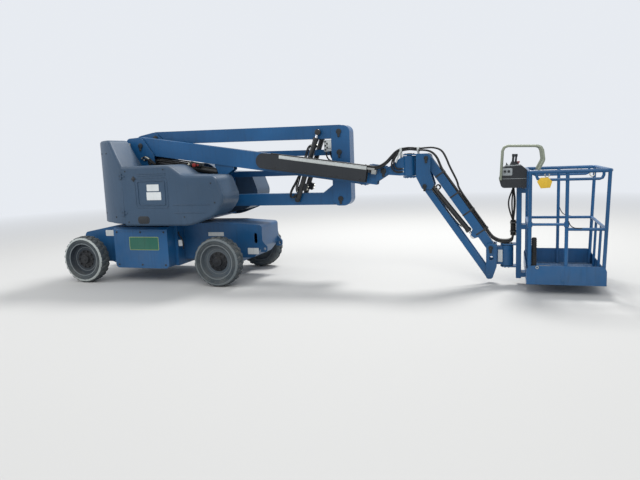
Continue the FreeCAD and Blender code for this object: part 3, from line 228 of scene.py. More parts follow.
def finish(name, colour, rub_colour, roughness, metallic=0.0, coat=0.0, dust=0.5, streaks=0.4, grain=300.0,
           bump=0.12, rub=0.5, fade=0.12):
    """A weathered finish: a base colour that fades in places, with dirt runs, dust, specks and rubbed edges."""
    material, tree, bsdf = blank_material(name)
    aged = node(tree, "Group", {"Dust": dust, "Streaks": streaks, "Patch Scale": 3.0, "Grain Scale": grain},
                node_tree=weather).outputs
    rim = node(tree, "Group", {"Radius": 0.004, "Rub": rub}, node_tree=edges).outputs
    base, rubbed = shade(*colour), shade(*rub_colour)
    pale = tuple(value * (1 + fade * 2) + fade * 0.02 for value in base[:3]) + (1.0,)
    dark = tuple(value * 0.5 for value in base[:3]) + (1.0,)
    faded = mix(tree, aged["Fade"], base, pale)
    stained = mix(tree, aged["Grime"], faded, dark)
    worn = mix(tree, rim["Rubbed"], stained, rubbed)
    speckled = mix(tree, aged["Specks"], worn, rubbed)
    dusty = mix(tree, aged["Dust"], speckled, shade(128, 126, 118))
    raised = node(tree, "Bump", {"Height": aged["Grain"], "Strength": bump, "Distance": 0.002,
                                 "Normal": rim["Normal"]})
    feed(tree, bsdf, {"Base Color": dusty, "Roughness": ramp(tree, aged["Dust"], 0, 1, roughness, 0.9),
                      "Normal": raised, "Metallic": metallic, "Specular IOR Level": 0.35, "Coat Weight": coat,
                      "Coat Roughness": 0.2})
    return material


def dress(material, *names):
    """Gives solids that keep their own shape their finish."""
    for name in names:
        mesh = frame["nodes"][name].data
        mesh.materials.clear()
        mesh.materials.append(material)


def pick(*objects):
    bpy.ops.object.select_all(action="DESELECT")
    for item in objects:
        item.select_set(True)
    bpy.context.view_layer.objects.active = objects[0]


def settle(piece):
    """Puts a piece's own place, turn and scale into its mesh."""
    pick(piece)
    bpy.ops.object.transform_apply(location=True, rotation=True, scale=True)
    return piece


def soften(piece, width, segments=2, angle=35):
    """Rounds a piece's sharp edges and shades it smooth."""
    pick(piece)
    rounding = piece.modifiers.new("rounding", "BEVEL")
    rounding.width = width
    rounding.segments = segments
    rounding.angle_limit = math.radians(30)
    bpy.ops.object.modifier_apply(modifier=rounding.name)
    bpy.ops.object.shade_smooth_by_angle(angle=math.radians(angle))
    return piece


def block(low, high, width=0.0):
    """A block between two corners, in metres from the rear axle."""
    a, b = at(*low), at(*high)
    bpy.ops.mesh.primitive_cube_add(size=1, location=(a + b) / 2)
    made = bpy.context.object
    made.scale = b - a
    settle(made)
    return soften(made, width) if width else made


def drum(start, end, radius, vertices=24, width=0.0):
    """A round piece from start to end, in metres from the rear axle."""
    a, b = at(*start), at(*end)
    turn = (b - a).to_track_quat("Z", "Y").to_euler()
    bpy.ops.mesh.primitive_cylinder_add(vertices=vertices, radius=radius, depth=(b - a).length,
                                        location=(a + b) / 2, rotation=turn)
    made = settle(bpy.context.object)
    return soften(made, width) if width else soften(made, radius * 0.05, 1)


def upright(x, y, z0, z1, *sizes):
    """A drum that stands, from z0 to z1."""
    return drum((x, y, z0), (x, y, z1), *sizes)


def across(x, z, y0, y1, *sizes):
    """A drum that lies across the machine, from y0 to y1."""
    return drum((x, y0, z), (x, y1, z), *sizes)


def face_outwards():
    """Turns every face of the mesh in edit mode outwards, and leaves edit mode."""
    bpy.ops.mesh.select_all(action="SELECT")
    bpy.ops.mesh.normals_make_consistent(inside=False)
    bpy.ops.object.mode_set(mode="OBJECT")


def plate(outline, y0, y1, width=0.0):
    """A flat piece of an (x, z) outline in side view, from y0 to y1."""
    bpy.ops.mesh.primitive_circle_add(vertices=len(outline), fill_type="NGON")
    made = bpy.context.object
    for vertex, (x, z) in zip(made.data.vertices, outline):
        vertex.co = at(x, y0, z)
    bpy.ops.object.mode_set(mode="EDIT")
    bpy.ops.mesh.select_all(action="SELECT")
    bpy.ops.mesh.extrude_region_move(TRANSFORM_OT_translate={"value": (0, y1 - y0, 0)})
    face_outwards()
    return soften(made, width) if width else made


def side_plate(side, outline, inner, outer, width=0.0):
    """A plate on the left (1) or the right (-1) side, from its inner face to its outer one."""
    return plate(outline, *sorted((side * inner, side * outer)), width)


def side_block(side, low, high, width=0.0):
    """A block on the left or the right side, with its corners given as for the left one."""
    y0, y1 = sorted((side * low[1], side * high[1]))
    return block((low[0], y0, low[2]), (high[0], y1, high[2]), width)


def rounded(x0, x1, z0, z1, r, steps=4):
    """The outline of a rectangle with round corners."""
    points = []
    for cx, cz, start in ((x1 - r, z1 - r, 0), (x0 + r, z1 - r, 90), (x0 + r, z0 + r, 180),
                          (x1 - r, z0 + r, 270)):
        for i in range(steps + 1):
            a = math.radians(start + 90 * i / steps)
            points.append((cx + r * math.cos(a), cz + r * math.sin(a)))
    return points


def stamp(prototype, matrix):
    """A copy of a piece with a mesh of its own, placed by a matrix."""
    made = prototype.copy()
    made.data = prototype.data.copy()
    bpy.context.collection.objects.link(made)
    made.matrix_world = matrix
    return made


def finished(name, body, material, parts):
    """Joins the parts of one piece, names it and ties it to its body, where it rides on one."""
    pick(*parts)
    if len(parts) > 1:
        bpy.ops.object.join()
    piece = settle(bpy.context.object)
    piece.name = name
    piece.data.name = name
    piece.data.materials.clear()
    piece.data.materials.append(material)
    if body:
        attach(piece, body)
    return piece


def hose(points, radius):
    """A hose along a smooth curve through given points."""
    curve = bpy.data.curves.new("hose", "CURVE")
    curve.dimensions = "3D"
    curve.bevel_depth = radius
    curve.bevel_resolution = 3
    curve.resolution_u = 8
    curve.use_fill_caps = True
    line = curve.splines.new("NURBS")
    line.points.add(len(points) - 1)
    for point, place in zip(line.points, points):
        point.co = (*at(*place), 1)
    line.order_u = 3
    line.use_endpoint_u = True
    made = bpy.data.objects.new("hose", curve)
    bpy.context.collection.objects.link(made)
    pick(made)
    bpy.ops.object.convert(target="MESH")
    bpy.ops.object.shade_smooth()
    return bpy.context.object


blue = finish("blue_paint", (13, 74, 118), (108, 134, 148), 0.34, coat=0.06, dust=0.40, streaks=0.5, rub=0.7,
              fade=0.2)
steel = finish("dark_steel", (44, 47, 50), (116, 116, 112), 0.45, metallic=0.6)
chrome = finish("rod_chrome", (205, 206, 208), (150, 148, 140), 0.12, metallic=1.0, dust=0.15, streaks=0.1,
                bump=0.02)
hose_black = finish("hose_black", (23, 25, 27), (60, 60, 60), 0.5, dust=0.35, grain=900.0, bump=0.2)
cylinder_black = finish("cylinder_black", (27, 29, 31), (84, 86, 86), 0.35, coat=0.3, dust=0.35)
label_white = finish("blank_label", (204, 208, 208), (160, 162, 160), 0.5, dust=0.4, grain=500.0, bump=0.05)
label_green = finish("blank_sticker", (30, 92, 76), (90, 130, 110), 0.45, dust=0.35, bump=0.05)
label_rim = finish("sticker_rim", (150, 166, 96), (140, 146, 100), 0.45, dust=0.4, bump=0.05)
dress(blue, "chassis_frame", "chassis_side_boxes", "knuckle_left", "knuckle_right")
dress(steel, "rear_drive_hubs")

bpy.ops.mesh.primitive_cylinder_add(vertices=6, radius=0.0095, depth=0.008, location=(0, 0, 0.006))
bolt_shape = soften(bpy.context.object, 0.0008, 1)
bpy.ops.mesh.primitive_cylinder_add(vertices=20, radius=0.0125, depth=0.003, location=(0, 0, 0.001))
washer = bpy.context.object
pick(bolt_shape, washer)
bpy.ops.object.join()
bolt_shape = settle(bpy.context.object)


def bolt(place, way, size=1.0):
    """A hexagon head on a washer, on the surface at a place, standing out along way."""
    turn = Vector(way).to_track_quat("Z", "Y").to_matrix().to_4x4()
    return stamp(bolt_shape, Matrix.Translation(at(*place)) @ turn @ Matrix.Scale(size, 4))


def side_bolts(side, y, places, size=1.0):
    """Bolts on a side face of the machine, at places given by X and Z."""
    return [bolt((x, side * y, z), (0, side, 0), size) for x, z in places]


CHASSIS_Y = 0.450
NOSE_Y = 0.270
BOX_Y = 0.620
AXLE_Z = 0.305
LABEL = 0.0015
LABEL_SINK = 0.0005
HUB_BOLTS_R = 0.115
# The smallest white plate, behind the hose, is a painted highlight of sun on the hose, not a label.
finished("chassis_labels_and_glint", "chassis", label_white, [
    side_plate(-1, rounded(*edges_of), y - LABEL_SINK, y + LABEL) for y, edges_of in (
        (CHASSIS_Y, (0.17, 0.39, 0.58, 0.66, 0.008)), (NOSE_Y, (1.60, 1.82, 0.56, 0.61, 0.006)),
        (NOSE_Y, (2.145, 2.295, 0.33, 0.41, 0.006)), (CHASSIS_Y, (1.262, 1.318, 0.455, 0.535, 0.006)))])
finished("sticker_rim", "chassis", label_rim, [
    side_plate(-1, rounded(0.65, 1.08, 0.425, 0.595, 0.012), BOX_Y - LABEL_SINK, BOX_Y + 0.0012)])
finished("sticker_face", "chassis", label_green, [
    side_plate(-1, rounded(0.656, 1.074, 0.431, 0.589, 0.009), BOX_Y, BOX_Y + 0.0020)])
parts = []
for side in (-1, 1):
    parts += side_bolts(side, BOX_Y, [(x, z) for x in (0.47, 0.82, 1.16) for z in (0.235, 0.655)])
    turns = [math.radians(-30 + 40 * i) for i in range(7)]
    parts += side_bolts(side, CHASSIS_Y, [
        (HUB_BOLTS_R * math.cos(a), AXLE_Z + HUB_BOLTS_R * math.sin(a)) for a in turns])
finished("chassis_bolts", "chassis", steel, parts)
parts = []
for side in (-1, 1):
    parts.append(side_block(side, (0.452, BOX_Y - 0.001, 0.664), (1.178, BOX_Y + 0.002, 0.670), 0.0008))
    for x in (0.425, 1.205):
        parts.append(hose([(x, side * (CHASSIS_Y + 0.002), z) for z in (0.21, 0.45, 0.70)], 0.004))
finished("chassis_seams", "chassis", blue, parts)
finished("chassis_hose", "chassis", hose_black, [
    hose([(1.275, -0.456, 0.640), (1.285, -0.470, 0.600), (1.330, -0.474, 0.560), (1.350, -0.470, 0.480),
          (1.330, -0.456, 0.420)], 0.008)])
STEER_X = 1.852
parts = [across(STEER_X, AXLE_Z, *sizes) for sizes in (
    (-0.15, 0.15, 0.026, 28, 0.003), (-0.155, -0.135, 0.031, 28, 0.002), (0.135, 0.155, 0.031, 28, 0.002))]
for y in (-0.09, 0.09):
    parts.append(block((STEER_X - 0.02, y - 0.02, 0.27), (1.885, y + 0.02, 0.34), 0.004))
    parts.append(hose([(STEER_X, y * 1.45, AXLE_Z + 0.025), (STEER_X - 0.01, y * 1.45, 0.37),
                       (STEER_X - 0.08, y, 0.42), (STEER_X - 0.16, y * 0.6, 0.44)], 0.007))
finished("steering_cylinder", "chassis", cylinder_black, parts)
finished("steering_rod", "chassis", chrome, [across(STEER_X, AXLE_Z, -0.26, 0.26, 0.012, 24, 0.001)])


# Tyres: solid grey rubber, a turned carcass with two rows of slanted blocks, half a block apart.
# Each stands for its plain solid; the side walls carry low rings.
RIM_SEAT_R = 0.2153
BLOCKS = 24
BLOCK_PLACE = (0.2938, 0.041)
BLOCK_SIZE = (0.050, 0.074, 0.022)
BLOCK_TAPER = 0.8
BLOCK_SLANT = math.radians(14)
rubber = finish("grey_rubber", (58, 67, 73), (122, 126, 124), 0.85, dust=0.7, grain=500.0, bump=0.4, rub=0.9)


def turned_ring(profile, segments=64):
    """A ring turned about the Y axis from a closed outline of (radius, y) points."""
    bpy.ops.mesh.primitive_circle_add(vertices=len(profile))
    ring = bpy.context.object
    for vertex, (radius, y) in zip(ring.data.vertices, profile):
        vertex.co = (radius, y, 0)
    bpy.ops.object.mode_set(mode="EDIT")
    bpy.ops.mesh.select_all(action="SELECT")
    bpy.ops.mesh.spin(steps=segments, angle=2 * math.pi, center=(0, 0, 0), axis=(0, 1, 0))
    bpy.ops.mesh.select_all(action="SELECT")
    bpy.ops.mesh.remove_doubles(threshold=0.00002)
    face_outwards()
    bpy.ops.object.shade_smooth_by_angle(angle=math.radians(35))
    return ring


def joined(parts):
    """One settled mesh of several parts, to be stamped more than once."""
    pick(*parts)
    bpy.ops.object.join()
    return settle(bpy.context.object)


side_wall = [(RIM_SEAT_R, 0.078), (0.228, 0.078), (0.232, 0.0835), (0.240, 0.0855), (0.243, 0.0825),
             (0.247, 0.0825), (0.250, 0.0865), (0.268, 0.0890), (0.279, 0.084), (0.287, 0.074),
             (0.2915, 0.060)]
carcass = turned_ring(side_wall + [(radius, -y) for radius, y in reversed(side_wall)])
tyre_parts = [carcass]
bpy.ops.mesh.primitive_cube_add(size=1)
tread_block = bpy.context.object
for vertex in tread_block.data.vertices:
    x, y, z = (value * size for value, size in zip(vertex.co, BLOCK_SIZE))
    if z > 0:
        x *= BLOCK_TAPER
    if z > 0 and y > 0:
        y, z = y - 0.006, z - 0.007
    vertex.co = (x, y, z)
soften(tread_block, 0.003)
for row in (-1, 1):
    for i in range(BLOCKS):
        around = Matrix.Rotation(2 * math.pi * (i + 0.25 * (row + 1)) / BLOCKS, 4, "Y")
        side = Matrix.Diagonal((1, row, 1, 1))
        slant = Matrix.Rotation(row * BLOCK_SLANT, 4, "Z")
        lift = Matrix.Translation((0, BLOCK_PLACE[1] * row, BLOCK_PLACE[0]))
        tyre_parts.append(stamp(tread_block, around @ lift @ slant @ side))
bpy.data.objects.remove(tread_block)
tyre_shape = joined(tyre_parts)
bpy.ops.object.mode_set(mode="EDIT")
face_outwards()
side_ring_shape = turned_ring([(0.2620, 0.0870), (0.2635, 0.0898), (0.2700, 0.0900), (0.2800, 0.0852),
                               (0.2880, 0.0755), (0.2860, 0.0745)], 72)

# Wheels: a dished steel disc, dusty grey in front and painted darker behind as painted shade, with a dark hub
# cap, a flange and ten nuts on it. A rolled lip closes the rim; the front tyres' shoulders are worn, and the
# rear ones carry a pale ring that is a painted highlight of sun on the shoulder.
NUT_CIRCLE_R = 0.103
NUTS = 10
DISC_Y = 0.015
wheel_paint = finish("rim_paint", (78, 88, 96), (66, 70, 74), 0.6, dust=0.8)
# The rear discs are the same rims as in front, painted darker as painted shade.
shaded_rim_paint = finish("painted_shade_rim_paint", (42, 51, 60), (78, 80, 80), 0.6, dust=0.4)
lip_paint = finish("rim_lip_paint", (108, 116, 120), (110, 108, 104), 0.5, dust=0.6)
# The rear tyres' pale shoulder ring is a painted highlight of sun on the shoulder, with dust on it.
glint_ring_rubber = finish("painted_glint_rubber", (176, 182, 180), (116, 120, 120), 0.9, dust=0.6, streaks=0.9, bump=0.4)
worn_rubber = finish("worn_rubber", (104, 112, 116), (78, 84, 88), 0.9, dust=0.7, bump=0.4)
hub_dark = finish("hub_dark", (34, 37, 42), (80, 82, 84), 0.5, metallic=0.4, dust=0.35)
bpy.ops.mesh.primitive_cylinder_add(vertices=6, radius=0.0130, depth=0.020)
nut = soften(bpy.context.object, 0.0012, 1)
hub_parts = []
for i in range(NUTS):
    around = Matrix.Rotation(2 * math.pi * i / NUTS, 4, "Y")
    lift = Matrix.Translation((NUT_CIRCLE_R, DISC_Y + 0.013, 0)) @ Matrix.Rotation(math.pi / 2, 4, "X")
    hub_parts.append(stamp(nut, around @ lift))
bpy.data.objects.remove(nut)
hub_parts += [
    turned_ring([(0.060, DISC_Y), (0.119, DISC_Y), (0.119, DISC_Y + 0.003), (0.117, DISC_Y + 0.005),
                 (0.086, DISC_Y + 0.005), (0.082, DISC_Y + 0.010), (0.060, DISC_Y + 0.010)], 60),
    turned_ring([(0.0598, DISC_Y + 0.004), (0.0622, DISC_Y + 0.004), (0.0575, 0.049), (0.0540, 0.0530),
                 (0.0, 0.0530), (0.0, 0.0500), (0.0530, 0.0500)], 48),
    turned_ring([(0.0, 0.0525), (0.024, 0.0525), (0.024, 0.0570), (0.020, 0.0590), (0.0, 0.0590)], 32)]
hub_shape = joined(hub_parts)
lip_shape = joined([
    turned_ring([(0.2148, 0.0735), (0.2148, 0.0765), (0.2125, 0.0785), (0.205, 0.0785), (0.2025, 0.0765),
                 (0.2025, 0.0735)], 72),
    turned_ring([(0.150, DISC_Y - 0.001), (0.158, DISC_Y - 0.001), (0.157, DISC_Y + 0.0025),
                 (0.151, DISC_Y + 0.0025)], 64)])
for corner in ("front_left", "front_right", "rear_left", "rear_right"):
    turn = 0 if corner.endswith("left") else math.pi
    place = Matrix.Translation(pins["spin_" + corner]) @ Matrix.Rotation(turn, 4, "Z")
    body = "wheel_" + corner
    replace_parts(finished("tread_" + corner, body, rubber, [stamp(tyre_shape, place)]), "tyre_" + corner)
    # The rear rings carry the painted highlight; the front ones are worn rubber.
    ring_finish = glint_ring_rubber if corner.startswith("rear") else worn_rubber
    for name, material, shape in (("wheel_nuts_", hub_dark, hub_shape), ("rim_lip_", lip_paint, lip_shape),
                                  ("shoulder_ring_", ring_finish, side_ring_shape)):
        finished(name + corner, body, material, [stamp(shape, place)])
dress(rubber, "tyre_front_left", "tyre_front_right", "tyre_rear_left", "tyre_rear_right")
dress(wheel_paint, "rim_front_left", "rim_front_right")
dress(shaded_rim_paint, "rim_rear_left", "rim_rear_right")
for shape in (tyre_shape, side_ring_shape, hub_shape, lip_shape):
    bpy.data.objects.remove(shape)


# Turntable: a blue deck between grey moulded covers, the tail weight with two lifting eyes, and the power
# packs behind the doors with their ribs, caps and leads.
grey = finish("grey_cover", (50, 72, 94), (122, 134, 144), 0.44, dust=0.35, grain=900.0, bump=0.2, rub=0.4)
black = finish("black_plastic", (34, 38, 43), (84, 88, 92), 0.5, dust=0.45, grain=1200.0, bump=0.25)
zinc = finish("zinc_fitting", (192, 190, 176), (120, 116, 104), 0.3, metallic=0.9, dust=0.2, streaks=0.2)
valve_red = finish("valve_red", (140, 44, 40), (100, 60, 56), 0.45, dust=0.35)
dress(blue, "turntable_frame", "counterweight")
dress(steel, "slew_ring")
dress(grey, "rear_covers", "pod_bodies", "door_left", "door_right")
dress(cylinder_black, "power_packs")


def touch(name, start, way):
    """Where a straight line meets a solid, in metres from the rear axle, and how the surface faces there."""
    place, normal = frame["nodes"][name].ray_cast(at(*start), Vector(way).normalized())[1:3]
    return (place.x - AXLE_X, place.y, place.z), normal


def ring(place, size, thickness, around, through):
    """A round bar bent to a ring that stands along the machine."""
    bpy.ops.mesh.primitive_torus_add(major_radius=size, minor_radius=thickness, major_segments=around,
                                     minor_segments=through, location=at(*place),
                                     rotation=(math.pi / 2, 0, 0))
    bpy.ops.object.shade_smooth()
    return settle(bpy.context.object)


parts = []
for side in (-1, 1):
    for x, z in ((0.30, 0.90), (0.30, 1.66), (0.55, 0.86), (0.44, 1.66)):
        spot, facing = touch("rear_covers", (x, side * 1.2, z), (0, -side, 0))
        parts.append(bolt(spot, facing, 0.75))
for y in (-0.2, 0.2):
    for z in (0.86, 1.34):
        spot, facing = touch("counterweight", (-0.6, y, z), (1, 0, 0))
        parts.append(bolt(spot, facing, 1.4))
finished("turntable_bolts", "turntable", steel, parts)
parts = []
for y in (-0.17, 0.17):
    spot, facing = touch("counterweight", (0.25, y, 2.2), (0, 0, -1))
    parts.append(ring((spot[0], y, spot[2] + 0.020), 0.030, 0.009, 32, 12))
    parts.append(upright(spot[0], y, spot[2] - 0.002, spot[2] + 0.006, 0.026, 24, 0.002))
finished("lifting_eyes", "turntable", steel, parts)
LINE_R = 0.009
PACK_TOP = 1.180
PACK_Y = 0.602
ribs, caps, leads = [], [], []
for side in (-1, 1):
    for x in (0.83, 0.97, 1.11, 1.25, 1.34):
        ribs.append(side_block(side, (x, PACK_Y - 0.002, 0.83), (x + 0.018, PACK_Y + 0.006, 1.15), 0.003))
    for x in (0.87, 0.99, 1.11, 1.23, 1.32):
        y = side * 0.50
        caps.append(upright(x, y, PACK_TOP - 0.002, PACK_TOP + 0.018, 0.022, 20, 0.003))
    leads.append(hose([(x, side * 0.57, PACK_TOP + rise) for x, rise in (
        (0.86, 0.0), (0.90, 0.06), (1.05, 0.045), (1.22, 0.06), (1.27, 0.0))], LINE_R))
finished("pack_ribs", "turntable", cylinder_black, ribs)
finished("pack_caps", "turntable", valve_red, caps)
finished("pack_leads", "turntable", hose_black, leads)


# Doors: grey moulded shells with a raised frame round a sunk panel, two grooves above it, the seam, blank
# labels, the diamond latch and the hand-hole, drawn as a flat black plate whose darkness is painted shade of
# its recess. The left door has the same ones, mirrored.
DOOR_Y = 0.745


def frame_of(side, x0, x1, z0, z1, r, line, low, high):
    """A narrow raised band round a rounded rectangle, as a plate with its inside cut out."""
    y0, y1 = sorted((side * low, side * high))
    made = plate(rounded(x0, x1, z0, z1, r), y0, y1)
    inner = rounded(x0 + line, x1 - line, z0 + line, z1 - line, max(r - line, 0.002))
    cutter = plate(inner, y0 - 0.01, y1 + 0.01)
    pick(made)
    hole = made.modifiers.new("opening", "BOOLEAN")
    hole.operation = "DIFFERENCE"
    hole.object = cutter
    bpy.ops.object.modifier_apply(modifier=hole.name)
    bpy.data.objects.remove(cutter)
    return soften(made, 0.0015, 1)


for side, name in ((-1, "right"), (1, "left")):
    door = "door_" + name
    parts = [frame_of(side, 0.92, 1.31, 1.005, 1.31, 0.03, 0.012, DOOR_Y, DOOR_Y + 0.008),
             frame_of(side, 0.885, 1.345, 0.97, 1.345, 0.04, 0.008, DOOR_Y - 0.0005, DOOR_Y + 0.004)]
    for x0, x1, z in ((0.93, 1.33, 1.366), (0.93, 1.33, 1.388), (1.40, 1.90, 1.002), (1.42, 1.84, 0.905)):
        parts.append(side_block(side, (x0, DOOR_Y - 0.0005, z), (x1, DOOR_Y + 0.004, z + 0.009), 0.0015))
    finished("door_ribs_" + name, door, grey, parts)
    diamond = [(0.876, 1.372), (0.910, 1.335), (0.876, 1.298), (0.842, 1.335)]
    finished("door_latch_and_hole_shade_" + name, door, black, [
        side_plate(side, diamond, DOOR_Y, DOOR_Y + 0.005, 0.002),
        across(0.876, 1.335, side * (DOOR_Y + 0.004), side * (DOOR_Y + 0.010), 0.012, 24, 0.001),
        # A flat black plate stands for the hand-hole; its darkness is painted shade of the recess.
        side_plate(side, rounded(0.895, 1.06, 0.778, 0.872, 0.036, 8), DOOR_Y - 0.002, DOOR_Y + 0.002,
                   0.001)])
    finished("door_labels_" + name, door, label_white, [
        side_plate(side, rounded(*edges_of, 0.006), DOOR_Y, DOOR_Y + LABEL)
        for edges_of in ((1.055, 1.225, 1.180, 1.262), (1.045, 1.25, 1.070, 1.168))])
    finished("door_screws_" + name, door, steel, side_bolts(side, DOOR_Y, (
        (0.76, 0.80), (0.76, 1.43), (1.30, 1.44), (1.55, 0.86), (1.93, 1.26), (1.97, 1.03)), 0.7))


# Riser: two stacked parallelograms of blue box arms and flat links, with a pin cap at every pivot, and black
# cylinders with hoses, fittings and a valve block. A pale valve sits at the back of the middle pivot.
PIN_R = 0.025
SMALL_PIN_R = 0.018
dress(blue, "lower_arm", "lower_link", "mid_pivot", "upper_arm", "upper_link", "upper_pivot")
dress(cylinder_black, "riser_cylinder_barrels", "primary_cylinder_barrel", "jib_cylinder_barrel")
dress(chrome, "riser_cylinder_rods", "primary_cylinder_rod", "jib_cylinder_rod")
pale_metal = finish("pale_metal", (150, 152, 150), (110, 110, 108), 0.45, metallic=0.5, dust=0.35)


def pin_cap(x, z, y, way, radius):
    """The round cap of a pivot pin at a side face, with its keeper plate and bolt."""
    reach = radius * 1.35
    cap = across(x, z, y - way * 0.001, y + way * 0.007, reach, 28, 0.002)
    keeper = plate(rounded(x - 0.014, x + 0.014, z - reach - 0.034, z - reach * 0.35, 0.010),
                   *sorted((y + way * 0.006, y + way * 0.012)))
    return [cap, keeper, bolt((x, y + way * 0.011, z - reach - 0.019), (0, way, 0), 0.75)]


lane_y = (0.048, 0.258)
root_y = (-0.195, 0.015)
jib_y = (-0.196, 0.016)
ear_y = (-0.166, -0.014)
# Columns: piece, body, pin radius, y of the outer faces at each joint.
for name, body, radius, joints in (
        ("turntable_pin_caps", "turntable", PIN_R, {"riser_raise": lane_y, "lower_link_turn": (None, 0.258)}),
        ("mid_pivot_pin_caps", "mid_pivot", PIN_R,
         {"mid_pivot_turn": lane_y, "upper_arm_turn": lane_y, "upper_link_turn": lane_y}),
        ("upper_pivot_pin_caps", "upper_pivot", PIN_R,
         {"upper_pivot_turn": lane_y, "primary_raise": root_y, "primary_cylinder_turn": root_y}),
        ("boom_head_pin_caps", "extension", PIN_R, {"level_turn": ear_y}),
        ("jib_head_pin_caps", "jib_head", SMALL_PIN_R, {"jib_raise": jib_y, "jib_link_turn": jib_y}),
        ("jib_foot_pin_caps", "jib_foot", SMALL_PIN_R, {"jib_foot_turn": jib_y})):
    parts = []
    for joint, faces in joints.items():
        for y, way in zip(faces, (-1, 1)):
            if y is not None:
                parts += pin_cap(*pin(joint), y, way, radius)
    finished(name, body, steel, parts)

RISER_FOOT = (2.740, 0.990)
RISER_EYE = (3.040, 1.8185)
RISER_CYL = (RISER_FOOT, RISER_EYE)
RISER_Y = (0.028, 0.283)


def beside(base, eye, along, off, y):
    """A place beside a cylinder: along its line from the base, off to its front."""
    way = Vector((eye[0] - base[0], eye[1] - base[1])).normalized()
    return (base[0] + way.x * along + way.y * off, y, base[1] + way.y * along - way.x * off)


eyes, hoses, nipples, valves = [], [], [], []
for y, out in zip(RISER_Y, (-1, 1)):
    eyes.append(across(*RISER_EYE, y - 0.0235, y + 0.0235, 0.0365, 32, 0.004))
    route = ((0.09, -0.030), (0.12, -0.056), (0.20, -0.062), (0.45, -0.056), (0.62, -0.060), (0.68, -0.054),
             (0.70, -0.034))
    for shift in (-0.014, 0.008):
        hoses.append(hose([beside(*RISER_CYL, s, off + shift * 0.5, y + shift) for s, off in route], 0.008))
    for reach in (0.0, 0.018):
        loop = ((0.30, -0.060), (0.20, -0.074), (0.12, -0.096), (0.04, -0.104), (-0.005, -0.082),
                (0.01, -0.046), (0.055, -0.028))
        hoses.append(hose([beside(*RISER_CYL, s, off - reach, y + out * (0.020 - reach)) for s, off in loop],
                          LINE_R))
    for s in (0.095, 0.70):
        nipples.append(drum(beside(*RISER_CYL, s, -0.024, y), beside(*RISER_CYL, s, -0.046, y),
                            0.012, 6, 0.0012))
    corners = [beside(*RISER_CYL, s, off, y)
               for s, off in ((0.135, 0.026), (0.135, 0.072), (0.225, 0.072), (0.225, 0.026))]
    valves.append(plate([(p[0], p[2]) for p in corners], y - 0.024, y + 0.024, 0.003))
    for s in (0.16, 0.20):
        nipples.append(drum(beside(*RISER_CYL, s, 0.068, y), beside(*RISER_CYL, s, 0.090, y),
                            0.010, 6, 0.001))
finished("riser_rod_eyes", "riser_rods", cylinder_black, eyes)
finished("riser_hoses", "riser_barrels", hose_black, hoses)
finished("riser_fittings", "riser_barrels", zinc, nipples)
finished("riser_valves", "riser_barrels", steel, valves)
foot_x, foot_z = RISER_FOOT
finished("riser_low_pin_caps", "lower_arm", steel, [
    across(foot_x, foot_z, y - 0.001 * way, y + 0.006 * way, 0.027, 28, 0.002)
    for y, way in ((0.0, -1), (0.311, 1))])
valve_pale = finish("valve_pale", (186, 190, 188), (120, 120, 118), 0.4, metallic=0.3, dust=0.35)
finished("mid_pivot_valve", "mid_pivot", valve_pale, [
    block((3.095, 0.078, 1.580), (3.205, 0.180, 1.722), 0.006),
    block((3.150, 0.0655, 1.615), (3.240, 0.079, 1.695), 0.003),
    upright(3.118, 0.105, 1.572, 1.592, 0.013, 6, 0.001),
    upright(3.160, 0.150, 1.572, 1.592, 0.013, 6, 0.001)])
finished("mid_pivot_plugs", "mid_pivot", steel, [
    across(x, z, 0.079, 0.070, 0.012, 6, 0.001) for x, z in (
        (3.116, 1.700), (3.116, 1.650), (3.116, 1.602), (3.140, 1.675), (3.140, 1.625))])
finished("mid_pivot_hoses", "mid_pivot", hose_black, [
    hose([(x, y, 1.580), (x - 0.005, y, 1.53), (x + 0.03, y, 1.47), (x + 0.10, y, 1.45), (3.30, y, 1.48),
          (3.33, y, 1.53)], LINE_R) for x, y in ((3.118, 0.105), (3.160, 0.150))])
finished("pivot_switch_box", "upper_pivot", pale_metal, [
    block((0.437, -0.203, 1.735), (0.487, -0.1885, 1.790), 0.003),
    across(0.462, 1.762, -0.202, -0.208, 0.010, 20, 0.001)])


# Main boom: a blue box tube with a banded collar at its mouth, hoses under its root, and the black tray that
# carries the hoses beside it. The pale channel slides in the tray with the inner tube.
BOOM_Y = -0.090
BOOM_SLOPE = math.radians(8.8)
BOOM_MOUTH = 3.095
HALF_H = 0.110
dress(blue, "primary_boom", "boom_extension")
dress(black, "cable_tray")


def on_boom(s, y, rise):
    """A place on the boom's line: s from the root pin, rise above its middle."""
    root_x, root_z = pin("primary_raise")
    return (root_x + s * math.cos(BOOM_SLOPE) + rise * math.sin(BOOM_SLOPE), y,
            root_z - s * math.sin(BOOM_SLOPE) + rise * math.cos(BOOM_SLOPE))


def bar(line, s0, s1, rise0, rise1, y0, y1, width=0.0):
    """A block in the line of the boom or the jib."""
    corners = [line(s, 0, rise) for s, rise in ((s0, rise0), (s1, rise0), (s1, rise1), (s0, rise1))]
    return plate([(p[0], p[2]) for p in corners], y0, y1, width)


